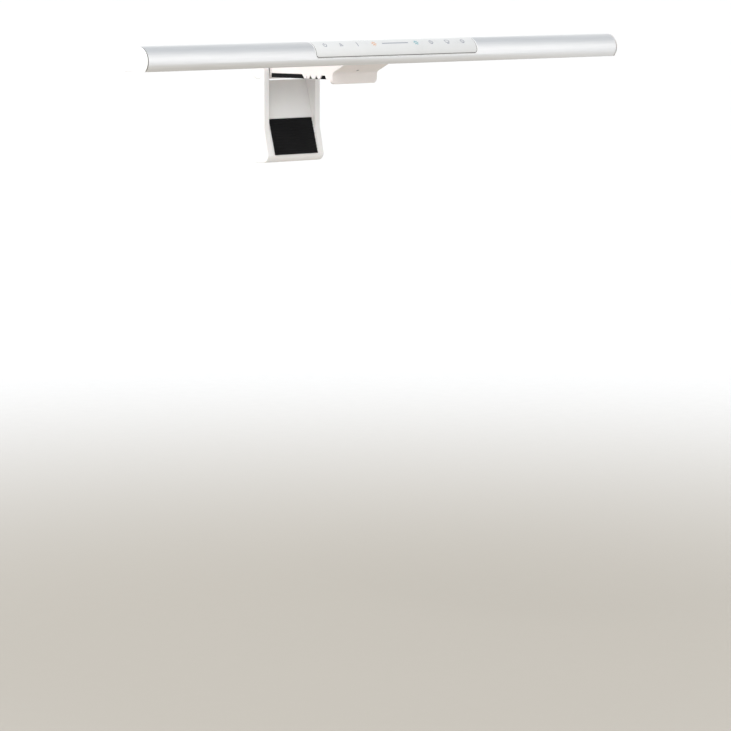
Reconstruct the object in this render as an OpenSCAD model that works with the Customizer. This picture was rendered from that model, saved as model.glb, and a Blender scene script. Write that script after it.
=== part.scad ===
// Monitor light bar with a spring clamp. Millimetres, +Z up, +X along the lamp, +Y to the back.
// The origin lies on the front top edge of the monitor that carries it, at the middle of the lamp.

/* [Lamp] */
// Length of the lamp over its end caps
lamp_length = 500; // [420:1:600]
// Depth of the lamp's section, front to back
lamp_depth = 25.9; // [25.5:0.1:27]
// Height of the lamp's section
lamp_height = 18.1; // [17.6:0.1:18.6]
// Radius of the rounded front
front_r = 10.4; // [10:0.1:10.6]
// Radius of the rounded back
back_r = 14; // [13.5:0.1:14]
// Distance from the monitor's front face to the front of the lamp
lamp_reach = 51.4; // [51:0.1:53]
// Height of the lamp's flat underside above the monitor's top
lamp_lift = 12.9; // [12.5:0.1:14]
// Wall of the aluminium sleeve
sleeve_wall = 1.3; // [1.1:0.05:1.4]
// Visible rim of each end cap
cap_rim = 1.5; // [1:0.1:3]
// Width of the slot that shows the diffuser
slot_width = 17.5; // [16:0.1:18]

/* [Touch panel] */
// Length of the panel
panel_length = 170.8; // [150:0.1:190]
// Height of the panel's lower edge above the lamp's underside
panel_edge = 6.8; // [6:0.1:9]
// Depth of the panel, from the front of the lamp to its back edge
panel_depth = 20.4; // [18:0.1:22]
// Width of the frame's rim round the panel
rim_width = 0.9; // [0.6:0.1:1.2]
// Corner radius of the panel
panel_corner = 2.4; // [1.5:0.1:4]

/* [Light] */
// Number of LED chips along the board, warm and cool in turn
led_count = 60; // [20:2:80]
// Tilt of the LED board from level, towards the front
led_tilt = 35; // [33:1:36]

/* [Clip] */
// Width of the hook, the neck and the bridge
clip_width = 48; // [46:1:52]
// Thickness of the hook plate
hook_plate = 3.2; // [3:0.1:3.4]
// Distance that the hook reaches down over the screen
hook_drop = 3.6; // [3:0.1:4]
// Length of the bridge behind the monitor's front face
bridge_length = 66; // [64:0.5:66]
// Height of the bridge's top
bridge_top = 12; // [11.8:0.1:13]
// Thickness of the rubber pad under the bridge
pad_height = 3.2; // [3:0.1:3.4]
// Angle of the neck from level
neck_angle = 26; // [25:0.5:27]
// Thickness of the neck
neck_plate = 3.6; // [3.4:0.1:3.8]
// Height where the neck leaves the hook
neck_start = 5; // [4.8:0.1:5.2]

/* [Clamp arm] */
// Width of the arm over its cheeks
arm_width = 60; // [59:0.5:66]
// Distance from the monitor's front face to the arm's hinge
axis_back = 75.3; // [75:0.1:77]
// Height of the arm's hinge above the monitor's top
axis_up = 5; // [4.8:0.1:5.2]
// Length of the arm below its hinge
arm_length = 71.9; // [68:0.1:76]
// Radius of the arm's round top
cheek_r = 7.3; // [7.2:0.1:7.5]
// Radius of the round pivot caps
cap_r = 6.4; // [6:0.1:6.5]

/* [Hidden] */
$fn = 96;

eps = 0.01;
gap = 0.05;                                  // clearance between pieces that are fixed together
seam = 0.15;                                 // visible joint line

// Lamp section, as [y, z] points
lamp_front = -lamp_reach;
lamp_back = lamp_front + lamp_depth;
lamp_bottom = lamp_lift;
lamp_top = lamp_bottom + lamp_height;
front_centre = [lamp_front + front_r, lamp_top - front_r];
back_centre = [lamp_back - back_r, lamp_top - back_r];
corner_r = 1.5;
sleeve_length = lamp_length - 2 * cap_rim;
slot_front = lamp_front + 5.4;
slot_back = slot_front + slot_width;

// Touch panel, seen from the front
panel_wall = 1.6;
panel_low = lamp_bottom + panel_edge;
panel_back = lamp_front + panel_depth;
ledge_wall = 0.5;
ledge_width = 2;
film_wall = 0.3;
guide_wall = 1.4;
guide_length = panel_length - 16;

// Light engine: the middle of the LED board's lit face, and its width
led_centre = [lamp_front + 18.2, lamp_bottom + 9.5];
led_width = 8.4;
board_wall = 1.2;
plate_wall = 1.4;
engine_length = sleeve_length - 22;
led_pitch = (engine_length - 12) / led_count;
chip = [3, 2.2, 0.8];
reflector_r = 9.8;
reflector_wall = 0.6;
reflector_centre = [lamp_front + 14.2, lamp_bottom + 2];
reflector_foot = lamp_bottom + 2.65;
pcb = 0.8;
board_level = reflector_centre[1] + reflector_r + reflector_wall + 0.3;
driver_x = 95;
driver_length = 120;

// Tilt hinge behind the lamp; the neck's plate runs into its barrels
tilt_barrel_r = 4.6;
tilt_gap = 2.5;
tilt_y = lamp_back + tilt_gap + tilt_barrel_r;
neck_dir = [-cos(neck_angle), sin(neck_angle)];
neck_up = [sin(neck_angle), cos(neck_angle)];
neck_foot = [-hook_plate, neck_start];
neck_run = (neck_foot[0] + tilt_barrel_r * neck_up[0] - tilt_y) / cos(neck_angle);
tilt_z = neck_foot[1] + neck_run * neck_dir[1] + tilt_barrel_r * neck_up[1];
neck_top = (bridge_top - neck_start - neck_plate * neck_up[1]) / neck_dir[1];
tilt_pin_r = 1.5;
knuckle_half = 10.8;
washer = 0.3;
bracket_half = 38;
bracket_wall = 1.6;
bracket_low = lamp_bottom + 0.8;
bracket_high = lamp_bottom + 9.6;
bracket_screw_x = [-33, -20, 20, 33];
bracket_screw_z = lamp_bottom + 4.2;
nut_wall = 1.2;

// Socket housing on the lamp's back
socket_x = 60;
socket_z = lamp_bottom + 5.6;
housing = [16, 6, 8.4];                      // size along x, y, z

// Clip
clip_half = clip_width / 2;
side_wall = 2;
skirt_wall = 1;
floor_top = pad_height + 1.8;
cover_wall = 1.8;
cover_front = -8.6;
skirt_end = 29;
root_back = 3.9;                             // depth of the solid root that rests on the monitor
notch_top = 2.9;
knuckle_r = cheek_r - 0.7;
knuckle_side = clip_half - 0.8;
cover_screw_x = [-15, 15];
cover_screw_y = [13, 55];
sensor_s = 3.4;                              // place of the sensor window on the neck
boss_r = 2.6;
tooth_pitch = 6.6;
tooth_first = 15;
tooth_count = 3;

// Arm: points are given as n, forward of the hinge axis, and s, below it
hinge_pin_r = 2;
cheek_wall = 5.4;
cheek_in = arm_width / 2 - cheek_wall;
spring_in = 8;
spring_out = 21.5;
spring_r = 3.9;
spring_wire = 0.6;
spring_turns = 9;
flange_r = 6.3;
web_angle = 15;
web_start = 22;
web_top = 8;
arm_wall = 2;
arm_foot_r = 6;
arm_pad_wall = 1.6;
arm_screw_x = [-20.5, 20.5];
arm_screw_s = [14, 66];
cap_wall = 1.2;
foot_s = arm_length - arm_foot_r;
foot_n = (foot_s - web_start) * tan(web_angle);

// ---------- helpers ----------

// Extrudes an outline of [y, z] points along the lamp
module along_x(x0, x1) {
    translate([x0, 0, 0]) rotate([90, 0, 90]) linear_extrude(x1 - x0) children();
}

// Extrudes an outline of [x, z] points from front to back
module along_y(y0, y1) {
    translate([0, y1, 0]) rotate([90, 0, 0]) linear_extrude(y1 - y0) children();
}

// A rod along x round the point p = [y, z]
module rod(p, r, x0, x1) {
    translate([x0, p[0], p[1]]) rotate([0, 90, 0]) cylinder(r = r, h = x1 - x0);
}

// A flat rectangle given by two corners
module area(a, b) {
    translate(a) square(b - a);
}

// A flat rectangle with round corners, given by two corners
module soft_area(a, b, r) {
    area([a[0] + r, a[1]], [b[0] - r, b[1]]);
    area([a[0], a[1] + r], [b[0], b[1] - r]);
    for (x = [a[0] + r, b[0] - r], y = [a[1] + r, b[1] - r])
        translate([x, y]) circle(r);
}

// A cylinder that points from the lamp's inside to the back
module to_back(x, y0, y1, z, r0, r1) {
    translate([x, y0, z]) rotate([-90, 0, 0]) cylinder(r1 = r0, r2 = r1, h = y1 - y0);
}

// ---------- lamp ----------

// Section of the lamp, drawn in by t
module lamp_section(t = 0) {
    low = lamp_bottom + t;
    back = lamp_back - t;
    r = max(corner_r - t, 0.2);
    intersection() {
        translate(front_centre) circle(front_r - t);
        area([lamp_front - 1, low], [front_centre[0], lamp_top]);
    }
    area([front_centre[0], low], [back_centre[0], lamp_top - t]);
    intersection() {
        translate(back_centre) circle(back_r - t);
        area(back_centre, [lamp_back + 1, lamp_top]);
    }
    area([back_centre[0], low], [back - r, back_centre[1]]);
    area([back_centre[0], low + r], [back, back_centre[1]]);
    translate([back - r, low + r]) circle(r);
}

// A wall that follows the lamp's section, from depth t0 to depth t1
module lamp_wall(t0, t1) {
    difference() {
        lamp_section(t0);
        lamp_section(t1);
    }
}

// The touch panel's outline seen from the front, drawn out by grow
module panel_window(grow = 0) {
    half = panel_length / 2 + grow;
    along_y(lamp_front - 2, panel_back + grow)
        soft_area([-half, panel_low - grow], [half, lamp_top + 6], panel_corner + grow);
}

module sleeve() {
    color("silver") difference() {
        along_x(-sleeve_length / 2, sleeve_length / 2) difference() {
            lamp_wall(0, sleeve_wall);
            area([slot_front, lamp_bottom - 1], [slot_back, lamp_bottom + 3]);
        }
        panel_window(rim_width + seam);
        for (x = bracket_screw_x)
            to_back(x, lamp_back - 3, lamp_back + 1, bracket_screw_z, 1.3, 1.3);
        for (x = [socket_x - 3, socket_x + 3])
            to_back(x, lamp_back - 4, lamp_back + 1, socket_z, 1.2, 1.2);
    }
}

module end_cap(side) {
    plug = sleeve_wall + 0.1;
    x_in = sleeve_length / 2;
    mirror([side < 0 ? 1 : 0, 0, 0]) {
        along_x(x_in, x_in + cap_rim) lamp_section();
        along_x(x_in - 8, x_in + eps) difference() {
            lamp_wall(plug, plug + 1.3);
            area([lamp_front, lamp_bottom], [lamp_back, lamp_bottom + 2.8]);
        }
    }
}

module end_cap_left() {
    color("white") end_cap(-1);
}

module end_cap_right() {
    color("white") end_cap(1);
}

module panel_frame() {
    color("white") {
        difference() {
            intersection() {
                along_x(-panel_length, panel_length) lamp_wall(0, panel_wall + gap + ledge_wall);
                panel_window(rim_width);
            }
            panel_window(seam);
        }
        // ledge that carries the panel from behind
        difference() {
            intersection() {
                along_x(-panel_length, panel_length)
                    lamp_wall(panel_wall + gap, panel_wall + gap + ledge_wall);
                panel_window(rim_width);
            }
            panel_window(-ledge_width);
        }
    }
}

module touch_panel() {
    color("whitesmoke") intersection() {
        along_x(-panel_length, panel_length) lamp_wall(0, panel_wall);
        panel_window();
    }
}

module touch_film() {
    t = panel_wall + gap;
    color("orange") intersection() {
        along_x(-guide_length / 2, guide_length / 2) lamp_wall(t, t + film_wall);
        along_y(lamp_front, front_centre[0])
            area([-guide_length, panel_low + 3.2], [guide_length, lamp_top]);
    }
}

module light_guide() {
    r_out = front_r - panel_wall - film_wall - 2 * gap;
    color("ivory") translate([-guide_length / 2, front_centre[0], front_centre[1]])
        rotate([90, 0, 90]) linear_extrude(guide_length) intersection() {
            difference() {
                circle(r_out);
                circle(r_out - guide_wall);
            }
            polygon([[0, 0], [-20, 20 * tan(15)], [-20, 20], [-20 / tan(65), 20]]);
        }
}

module touch_board() {
    color("darkgreen") along_x(-guide_length / 2, guide_length / 2)
        area([lamp_front + 8.3, board_level], [lamp_front + 14, board_level + pcb]);
}

module driver_board() {
    color("darkgreen") along_x(driver_x, driver_x + driver_length)
        area([lamp_front + 5, board_level], [lamp_front + 14, board_level + pcb]);
}

module driver_parts() {
    z = board_level + pcb;
    y = lamp_front + 9.5;
    color("dimgray") {
        for (i = [0:2])
            translate([driver_x + 12 + 34 * i, y - 2.5, z]) cube([6, 6, 1.9]);
        for (i = [0:5])
            translate([driver_x + 25 + 17 * i, y, z]) cylinder(r = 1.6, h = 1.8);
        for (i = [0:2])
            translate([driver_x + 30 + 34 * i, y - 2, z]) cube([5, 5, 0.9]);
        for (i = [0:8])
            translate([driver_x + 6 + 13 * i, y - 3.9, z]) cube([2, 1.2, 0.8]);
    }
}

module supply_leads() {
    color("red") for (p = [[17.4, 13.95], [15.8, 14.7]])
        rod([lamp_front + p[0], lamp_bottom + p[1]], 0.5, socket_x, driver_x + 30);
}

// Places flat pieces in the LED board's plane: x along the lamp, y up its slope, z into the lamp
module in_led_plane() {
    translate([0, led_centre[0], led_centre[1]]) rotate([-led_tilt, 0, 0]) children();
}

module chassis() {
    leg_back = lamp_back - sleeve_wall - 1.5;
    color("lightgray") {
        in_led_plane() translate([-engine_length / 2, -led_width / 2, board_wall])
            cube([engine_length, led_width, plate_wall]);
        along_x(-engine_length / 2, engine_length / 2)
            area([leg_back - 0.7, reflector_foot - 0.1], [leg_back, led_centre[1] - 0.6]);
    }
}

module led_board() {
    color("white") in_led_plane() translate([-engine_length / 2, -led_width / 2, 0])
        cube([engine_length, led_width, board_wall]);
}

module led_chips(first) {
    in_led_plane() for (i = [first:2:led_count - 1])
        translate([(i + 0.5 - led_count / 2) * led_pitch - chip[0] / 2, -chip[1] / 2, -chip[2]])
            cube(chip);
}

module led_chips_warm() {
    color("orange") led_chips(0);
}

module led_chips_cool() {
    color("khaki") led_chips(1);
}

module reflector() {
    r = reflector_r + reflector_wall;
    color("white") along_x(-engine_length / 2, engine_length / 2) intersection() {
        translate(reflector_centre) difference() {
            circle(r);
            circle(reflector_r);
        }
        area([reflector_centre[0] - r, reflector_foot], [led_centre[0] - 4.1, lamp_top]);
    }
}

module diffuser() {
    fit = 0.15;
    color("whitesmoke") along_x(-sleeve_length / 2 + fit, sleeve_length / 2 - fit) {
        area([slot_front + fit, lamp_bottom + 0.2], [slot_back - fit, lamp_bottom + 1.4]);
        area([slot_front - 1.4, lamp_bottom + sleeve_wall + gap], [slot_back + 1.1, lamp_bottom + 2.5]);
    }
}

module socket_housing() {
    y0 = lamp_back;
    y1 = lamp_back + housing[1];
    low = socket_z - housing[2] / 2;
    color("white") difference() {
        along_x(socket_x - housing[0] / 2, socket_x + housing[0] / 2) difference() {
            area([y0 - 3, low], [y1, low + housing[2]]);
            lamp_section(-0.02);
        }
        along_y(y0 - 3, y1 - 0.8)
            area([socket_x - 6.4, low + 1.2], [socket_x + 6.4, low + housing[2] - 1.2]);
        along_y(y0, y1 + 1)
            soft_area([socket_x - 4.6, socket_z - 1.75], [socket_x + 4.6, socket_z + 1.75], 1.7);
    }
}

module usb_socket() {
    y1 = lamp_back + housing[1] - 0.2;
    color("silver") difference() {
        along_y(y1 - 5.4, y1)
            soft_area([socket_x - 4.47, socket_z - 1.63], [socket_x + 4.47, socket_z + 1.63], 1.6);
        along_y(y1 - 4.8, y1 + 1)
            soft_area([socket_x - 4.17, socket_z - 1.33], [socket_x + 4.17, socket_z + 1.33], 1.3);
    }
}

module usb_tongue() {
    y1 = lamp_back + housing[1] - 0.2;
    color("black") along_y(y1 - 4.8, y1 - 0.6)
        area([socket_x - 3.3, socket_z - 0.35], [socket_x + 3.3, socket_z + 0.35]);
}

module socket_board() {
    low = socket_z - 1.63 - gap - pcb;
    color("darkgreen") along_x(socket_x - 6, socket_x + 6)
        area([lamp_back + 0.15, low], [lamp_back + housing[1] - 1.1, low + pcb]);
}

module tilt_bracket() {
    face = lamp_back + bracket_wall;
    color("gainsboro") difference() {
        union() {
            intersection() {
                along_x(-bracket_half, bracket_half) difference() {
                    area([lamp_back - 5, bracket_low], [face, bracket_high]);
                    lamp_section(-0.02);
                }
                along_y(lamp_back - 5, face)
                    soft_area([-bracket_half, bracket_low], [bracket_half, bracket_high], 2);
            }
            along_x(-knuckle_half, knuckle_half) {
                translate([tilt_y, tilt_z]) circle(tilt_barrel_r);
                area([face - eps, tilt_z - 3.2], [tilt_y, tilt_z + 3.2]);
            }
        }
        rod([tilt_y, tilt_z], tilt_pin_r + 0.05, -knuckle_half - 1, knuckle_half + 1);
        for (x = bracket_screw_x) {
            to_back(x, lamp_back - 1, face + 1, bracket_screw_z, 1.25, 1.25);
            to_back(x, face - 1.1, face + eps, bracket_screw_z, 1.25, 2.35);
        }
    }
}

module bracket_screws() {
    face = lamp_back + bracket_wall;
    color("dimgray") for (x = bracket_screw_x) difference() {
        union() {
            to_back(x, lamp_back - sleeve_wall - nut_wall, face - 0.2, bracket_screw_z, 1.1, 1.1);
            to_back(x, face - 1.1, face - 0.1, bracket_screw_z, 1.1, 2.1);
        }
        to_back(x, face - 0.8, face + 1, bracket_screw_z, 0.8, 0.8);
    }
}

module nut_plate() {
    t = sleeve_wall + gap;
    color("lightsteelblue") difference() {
        along_x(-bracket_half, bracket_half) intersection() {
            lamp_wall(t, t + nut_wall);
            area([lamp_back - 4, lamp_bottom + 2.6], [lamp_back, lamp_bottom + 5.9]);
        }
        for (x = bracket_screw_x)
            to_back(x, lamp_back - 4, lamp_back, bracket_screw_z, 1.12, 1.12);
    }
}

// ---------- clip ----------

// A point on the neck: s along its underside from the fold, o up through it
function on_neck(s, o) = neck_foot + s * neck_dir + o * neck_up;

// Stands children on the neck's underside at s and o, with their z axis up through it
module up_neck(s, o) {
    translate([0, on_neck(s, o)[0], on_neck(s, o)[1]]) rotate([-neck_angle, 0, 0]) children();
}

// A V-shaped notch with its point at y
module tooth_notch(y, half, height) {
    polygon([[y - half, -1], [y + half, -1], [y, height]]);
}

// Skirt along each side of the pad, with V-shaped teeth along its lower edge
module skirt_section() {
    difference() {
        polygon([
            [0, 0.15], [skirt_end - 0.6, 0.15], [skirt_end + 2, pad_height + eps], [0, pad_height + eps]
        ]);
        polygon([
            [root_back, -1], [root_back + 7, -1], [root_back + 7, 0.15], [root_back + 5.2, notch_top],
            [root_back + 1.4, notch_top], [root_back, 0.15]
        ]);
        for (i = [0:tooth_count - 2])
            tooth_notch(tooth_first + tooth_pitch * i, 2.4, notch_top);
        tooth_notch(tooth_first + tooth_pitch * 1.65, 0.75, notch_top - 0.5);
    }
}

module clip_section() {
    area([-hook_plate, 0], [bridge_length, bridge_top]);
    polygon([
        on_neck(0, 0), on_neck(neck_run, 0), on_neck(neck_run, neck_plate), on_neck(neck_top, neck_plate),
        [0, bridge_top], [0, neck_start]
    ]);
    translate([tilt_y, tilt_z]) circle(tilt_barrel_r);
    area([bridge_length - 2, axis_up - 3.5], [axis_back, axis_up + knuckle_r]);
    translate([axis_back, axis_up]) circle(knuckle_r);
}

module clip_frame() {
    color("#efe6e2") difference() {
        union() {
            difference() {
                along_x(-clip_half, clip_half) difference() {
                    clip_section();
                    area([root_back, -1], [bridge_length + eps, pad_height]);
                }
                // the knuckle is a little narrower than the bridge
                for (x = [-clip_half - 1, knuckle_side])
                    along_x(x, x + 1 + clip_half - knuckle_side)
                        area([bridge_length, -10], [bridge_length + 30, 20]);
            }
            for (x = [-clip_half, clip_half - skirt_wall])
                along_x(x, x + skirt_wall) skirt_section();
            along_y(-hook_plate, 0) {
                soft_area([-clip_half, -hook_drop], [clip_half, 6], 3.6);
            }
        }
        // room for the lamp's knuckle and its washers
        rod([tilt_y, tilt_z], tilt_barrel_r + 0.7, -knuckle_half - 0.4, knuckle_half + 0.4);
        // cavity of the bridge and seat of the cover
        along_x(-clip_half + side_wall, clip_half - side_wall) polygon([
            [-1.2, floor_top], [bridge_length - 2, floor_top], [bridge_length - 2, bridge_top + 1],
            [cover_front, bridge_top + 1], [cover_front, on_neck(7, 1.8)[1]], on_neck(0, 1.8)
        ]);
        // seat of the hook pad
        along_y(-0.8, 1) soft_area([-clip_half + 2, -hook_drop + 0.8], [clip_half - 2, -0.3], 1);
        rod([tilt_y, tilt_z], tilt_pin_r + 0.02, -clip_half - 1, clip_half + 1);
        // spring chambers and bushes of the arm's hinge
        rod([axis_back, axis_up], hinge_pin_r + 0.3, -clip_half, clip_half);
        for (side = [-1, 1]) mirror([side < 0 ? 1 : 0, 0, 0]) {
            rod([axis_back, axis_up], 5.2, spring_in, spring_out);
            rod([axis_back, axis_up], 3.02, spring_out - 1, clip_half);
        }
        for (x = cover_screw_x, y = cover_screw_y) translate([x, y, 0]) {
            cylinder(r = 1.15, h = 8);
            cylinder(r = 2.2, h = pad_height + 1.1);
        }
        // hole of the sensor window
        up_neck(sensor_s, -1) cylinder(r = 1.3, h = 4);
    }
}

module clip_cover() {
    low = bridge_top - cover_wall;
    half = clip_half - side_wall - seam;
    color("#efe6e2") difference() {
        union() {
            translate([-half, cover_front + seam, low])
                cube([2 * half, bridge_length - 2 - cover_front - 2 * seam, cover_wall]);
            for (x = cover_screw_x, y = cover_screw_y)
                translate([x, y, floor_top + gap]) cylinder(r = boss_r, h = low - floor_top);
        }
        for (x = cover_screw_x, y = cover_screw_y)
            translate([x, y, 0]) cylinder(r = 0.97, h = low + 0.4);
    }
}

module cover_screws() {
    color("dimgray") for (x = cover_screw_x, y = cover_screw_y)
        translate([x, y, 0]) difference() {
            union() {
                translate([0, 0, pad_height + 0.1]) cylinder(r = 2, h = 0.95);
                translate([0, 0, pad_height + 1]) cylinder(r = 0.95, h = 5.6);
            }
            cylinder(r = 0.9, h = pad_height + 0.7, $fn = 6);
        }
}

module spine_plate() {
    color("lightsteelblue") difference() {
        translate([-20.5, 2.5, floor_top]) cube([41, bridge_length - 5.5, 1.5]);
        for (x = cover_screw_x, y = cover_screw_y)
            translate([x, y, 0]) cylinder(r = boss_r + 0.3, h = 20);
    }
}

module bridge_pad() {
    inner = clip_half - skirt_wall - 0.2;
    color("#202020") union() {
        translate([-inner, root_back + 0.2, 0])
            cube([2 * inner, bridge_length - root_back - 0.2, pad_height]);
        for (x = [-clip_half, inner - eps])
            along_x(x, x + clip_half - inner + eps) polygon([
                [skirt_end - 0.2, 0], [bridge_length, 0],
                [bridge_length, pad_height], [skirt_end + 2.3, pad_height]
            ]);
    }
}

module hook_pad() {
    color("#202020") along_y(-0.8, 0)
        soft_area([-clip_half + 2.1, -hook_drop + 0.9], [clip_half - 2.1, -0.4], 0.9);
}

module sensor_window() {
    color("black") up_neck(sensor_s, 0.05) {
        cylinder(r = 1.25, h = 1.8);
        translate([0, 0, 1.79]) cylinder(r = 1.9, h = 0.45);
    }
}

module sensor_board() {
    color("darkgreen") along_x(-7, 7)
        polygon([on_neck(0.6, 2.35), on_neck(5.4, 2.35), on_neck(5.4, 2.9), on_neck(0.6, 2.9)]);
}

module tilt_pin() {
    color("silver") rod([tilt_y, tilt_z], tilt_pin_r, -clip_half + 0.6, clip_half - 0.6);
}

module friction_washers() {
    color("gold") for (side = [-1, 1]) mirror([side < 0 ? 1 : 0, 0, 0]) difference() {
        rod([tilt_y, tilt_z], tilt_barrel_r - 0.3, knuckle_half + gap, knuckle_half + gap + washer);
        rod([tilt_y, tilt_z], tilt_pin_r + 0.05, knuckle_half - 1, knuckle_half + 2);
    }
}

module hinge_bushes() {
    flange = cheek_in - knuckle_side - 2 * gap;
    color("black") for (side = [-1, 1]) mirror([side < 0 ? 1 : 0, 0, 0]) difference() {
        union() {
            rod([axis_back, axis_up], 3, spring_out, knuckle_side + gap + eps);
            rod([axis_back, axis_up], flange_r, knuckle_side + gap, knuckle_side + gap + flange);
        }
        rod([axis_back, axis_up], hinge_pin_r + 0.05, spring_out - 1, clip_half + 5);
    }
}

// Points of a coil's centre line
function coil_point(i, steps, pitch) =
    [spring_r * cos(360 * i / steps), spring_r * sin(360 * i / steps), pitch * i / steps];

// A coil spring round the z axis, swept as a tube with six sides
module coil(turns, pitch) {
    steps = 16;
    sides = 6;
    n = turns * steps;
    points = [
        for (i = [0:n], k = [0:sides - 1])
            let (p = coil_point(i, steps, pitch), a = 360 * i / steps, b = 360 * k / sides)
            let (out = spring_wire * cos(b))
                [p[0] + out * cos(a), p[1] + out * sin(a), p[2] + spring_wire * sin(b)]
    ];
    skin = [
        for (i = [0:n - 1], k = [0:sides - 1])
            let (a = i * sides + k, b = i * sides + (k + 1) % sides)
                [a, b, b + sides, a + sides]
    ];
    first = [for (k = [sides - 1:-1:0]) k];
    last = [for (k = [0:sides - 1]) n * sides + k];
    polyhedron(points, concat([first], skin, [last]), convexity = 10);
}

module torsion_springs() {
    room = spring_out - spring_in - 2 * spring_wire - 0.6;
    color("gray") for (side = [-1, 1]) mirror([side < 0 ? 1 : 0, 0, 0])
        translate([spring_in + spring_wire + 0.3, axis_back, axis_up]) rotate([0, 90, 0])
            coil(spring_turns, room / spring_turns);
}

// ---------- clamp arm ----------

// A point of the arm, n forward of the hinge axis and s below it
function on_arm(n, s) = [axis_back - n, axis_up - s];

// Height above the web's front surface, drawn back by t
function web_n(s, t = 0) = (s - web_start) * tan(web_angle) - t / cos(web_angle);

// Outline of the cheeks
module cheek_section() {
    translate([axis_back, axis_up]) circle(cheek_r);
    polygon([
        on_arm(cheek_r, 0), on_arm(cheek_r, web_start + cheek_r / tan(web_angle) - 4), on_arm(foot_n, foot_s),
        on_arm(foot_n, foot_s + 1), on_arm(-cheek_r, foot_s), on_arm(-cheek_r, 0)
    ]);
    foot_section();
}

// Round foot shared by the cheeks and the web
module foot_section() {
    translate(on_arm(foot_n - arm_foot_r, foot_s)) circle(arm_foot_r);
    translate(on_arm(arm_foot_r - cheek_r, foot_s)) circle(arm_foot_r);
    area(on_arm(foot_n - arm_foot_r, arm_length), on_arm(arm_foot_r - cheek_r, foot_s));
}

// Outline of the arm between the cheeks
module web_section() {
    polygon([
        on_arm(-cheek_r, web_top), on_arm(-4, web_top), on_arm(0, web_start), on_arm(foot_n, foot_s),
        on_arm(-cheek_r, foot_s)
    ]);
    foot_section();
}

// Space inside the arm, open to the back
module arm_cavity() {
    polygon([
        on_arm(-cheek_r - 1, web_top + 2.4), on_arm(-4.6, web_top + 2.4), on_arm(-2.4, web_start),
        on_arm(web_n(foot_s - 2, arm_wall), foot_s - 2), on_arm(web_n(foot_s - 2, arm_wall), foot_s + 3.4),
        on_arm(-cheek_r - 1, foot_s + 3.4)
    ]);
}

module arm_frame() {
    half = cheek_in - arm_wall;
    color("white") difference() {
        union() {
            for (x = [-arm_width / 2, cheek_in])
                along_x(x, x + cheek_wall) cheek_section();
            along_x(-cheek_in - eps, cheek_in + eps) web_section();
        }
        difference() {
            along_x(-half, half) arm_cavity();
            // screw bosses that stand on the front wall
            for (x = arm_screw_x, s = arm_screw_s)
                along_y(0, axis_back + cheek_r - cover_wall - gap) translate([x, axis_up - s]) circle(2.1);
        }
        for (x = arm_screw_x, s = arm_screw_s)
            along_y(axis_back + 3.4, axis_back + cheek_r) translate([x, axis_up - s]) circle(0.97);
        rod([axis_back, axis_up], hinge_pin_r + 0.02, -arm_width, arm_width);
        for (side = [-1, 1]) mirror([side < 0 ? 1 : 0, 0, 0])
            rod([axis_back, axis_up], cap_r + seam, arm_width / 2 - cap_wall, arm_width);
        // seat of the pad
        along_x(-half, half) pad_section(0);
    }
}

// The rubber pad's outline, inset by t from its seat
module pad_section(t) {
    s0 = web_start + 16 + t;
    s1 = foot_s - t;
    deep = 0.6;
    proud = deep - arm_pad_wall;
    polygon([
        on_arm(web_n(s0, deep), s0), on_arm(web_n(s0, proud), s0), on_arm(web_n(s1, proud), s1),
        on_arm(web_n(s1, deep), s1)
    ]);
}

module arm_cover() {
    half = cheek_in - arm_wall - seam;
    y1 = axis_back + cheek_r;
    low = axis_up - foot_s - 3.4 + seam;
    high = axis_up - web_top - 2.4 - seam;
    color("white") difference() {
        along_y(y1 - cover_wall, y1) soft_area([-half, low], [half, high], 1);
        for (x = arm_screw_x, s = arm_screw_s) {
            to_back(x, y1 - 3, y1 + 1, axis_up - s, 1.15, 1.15);
            to_back(x, y1 - 1.1, y1 + eps, axis_up - s, 1.15, 2.25);
        }
    }
}

module arm_screws() {
    y1 = axis_back + cheek_r;
    color("dimgray") for (x = arm_screw_x, s = arm_screw_s) difference() {
        union() {
            to_back(x, y1 - 3.6, y1 - 0.2, axis_up - s, 0.95, 0.95);
            to_back(x, y1 - 1.1, y1 - 0.1, axis_up - s, 0.95, 2);
        }
        to_back(x, y1 - 0.8, y1 + 1, axis_up - s, 0.8, 0.8);
    }
}

module counterweight() {
    y1 = axis_back + cheek_r - cover_wall - 0.3;
    s0 = web_start + 14;
    s1 = foot_s - 3.5;
    color("darkgray") along_x(-cheek_in + arm_wall + 0.5, cheek_in - arm_wall - 0.5) polygon([
        [y1, axis_up - s0], on_arm(web_n(s0, arm_wall + 0.5), s0), on_arm(web_n(s1, arm_wall + 0.5), s1),
        [y1, axis_up - s1]
    ]);
}

module arm_pad() {
    half = cheek_in - arm_wall - gap;
    color("#202020") along_x(-half, half) pad_section(gap);
}

module hinge_pin() {
    half = arm_width / 2 - cap_wall - gap;
    color("silver") rod([axis_back, axis_up], hinge_pin_r, -half, half);
}

module pivot_caps() {
    color("white") for (side = [-1, 1]) mirror([side < 0 ? 1 : 0, 0, 0])
        rod([axis_back, axis_up], cap_r, arm_width / 2 - cap_wall + gap, arm_width / 2);
}

sleeve();
end_cap_left();
end_cap_right();
panel_frame();
touch_panel();
touch_film();
light_guide();
touch_board();
driver_board();
driver_parts();
supply_leads();
chassis();
led_board();
led_chips_warm();
led_chips_cool();
reflector();
diffuser();
socket_housing();
usb_socket();
usb_tongue();
socket_board();
tilt_bracket();
bracket_screws();
nut_plate();
clip_frame();
clip_cover();
cover_screws();
spine_plate();
bridge_pad();
hook_pad();
sensor_window();
sensor_board();
tilt_pin();
friction_washers();
hinge_bushes();
torsion_springs();
arm_frame();
arm_cover();
arm_screws();
counterweight();
arm_pad();
hinge_pin();
pivot_caps();
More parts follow.
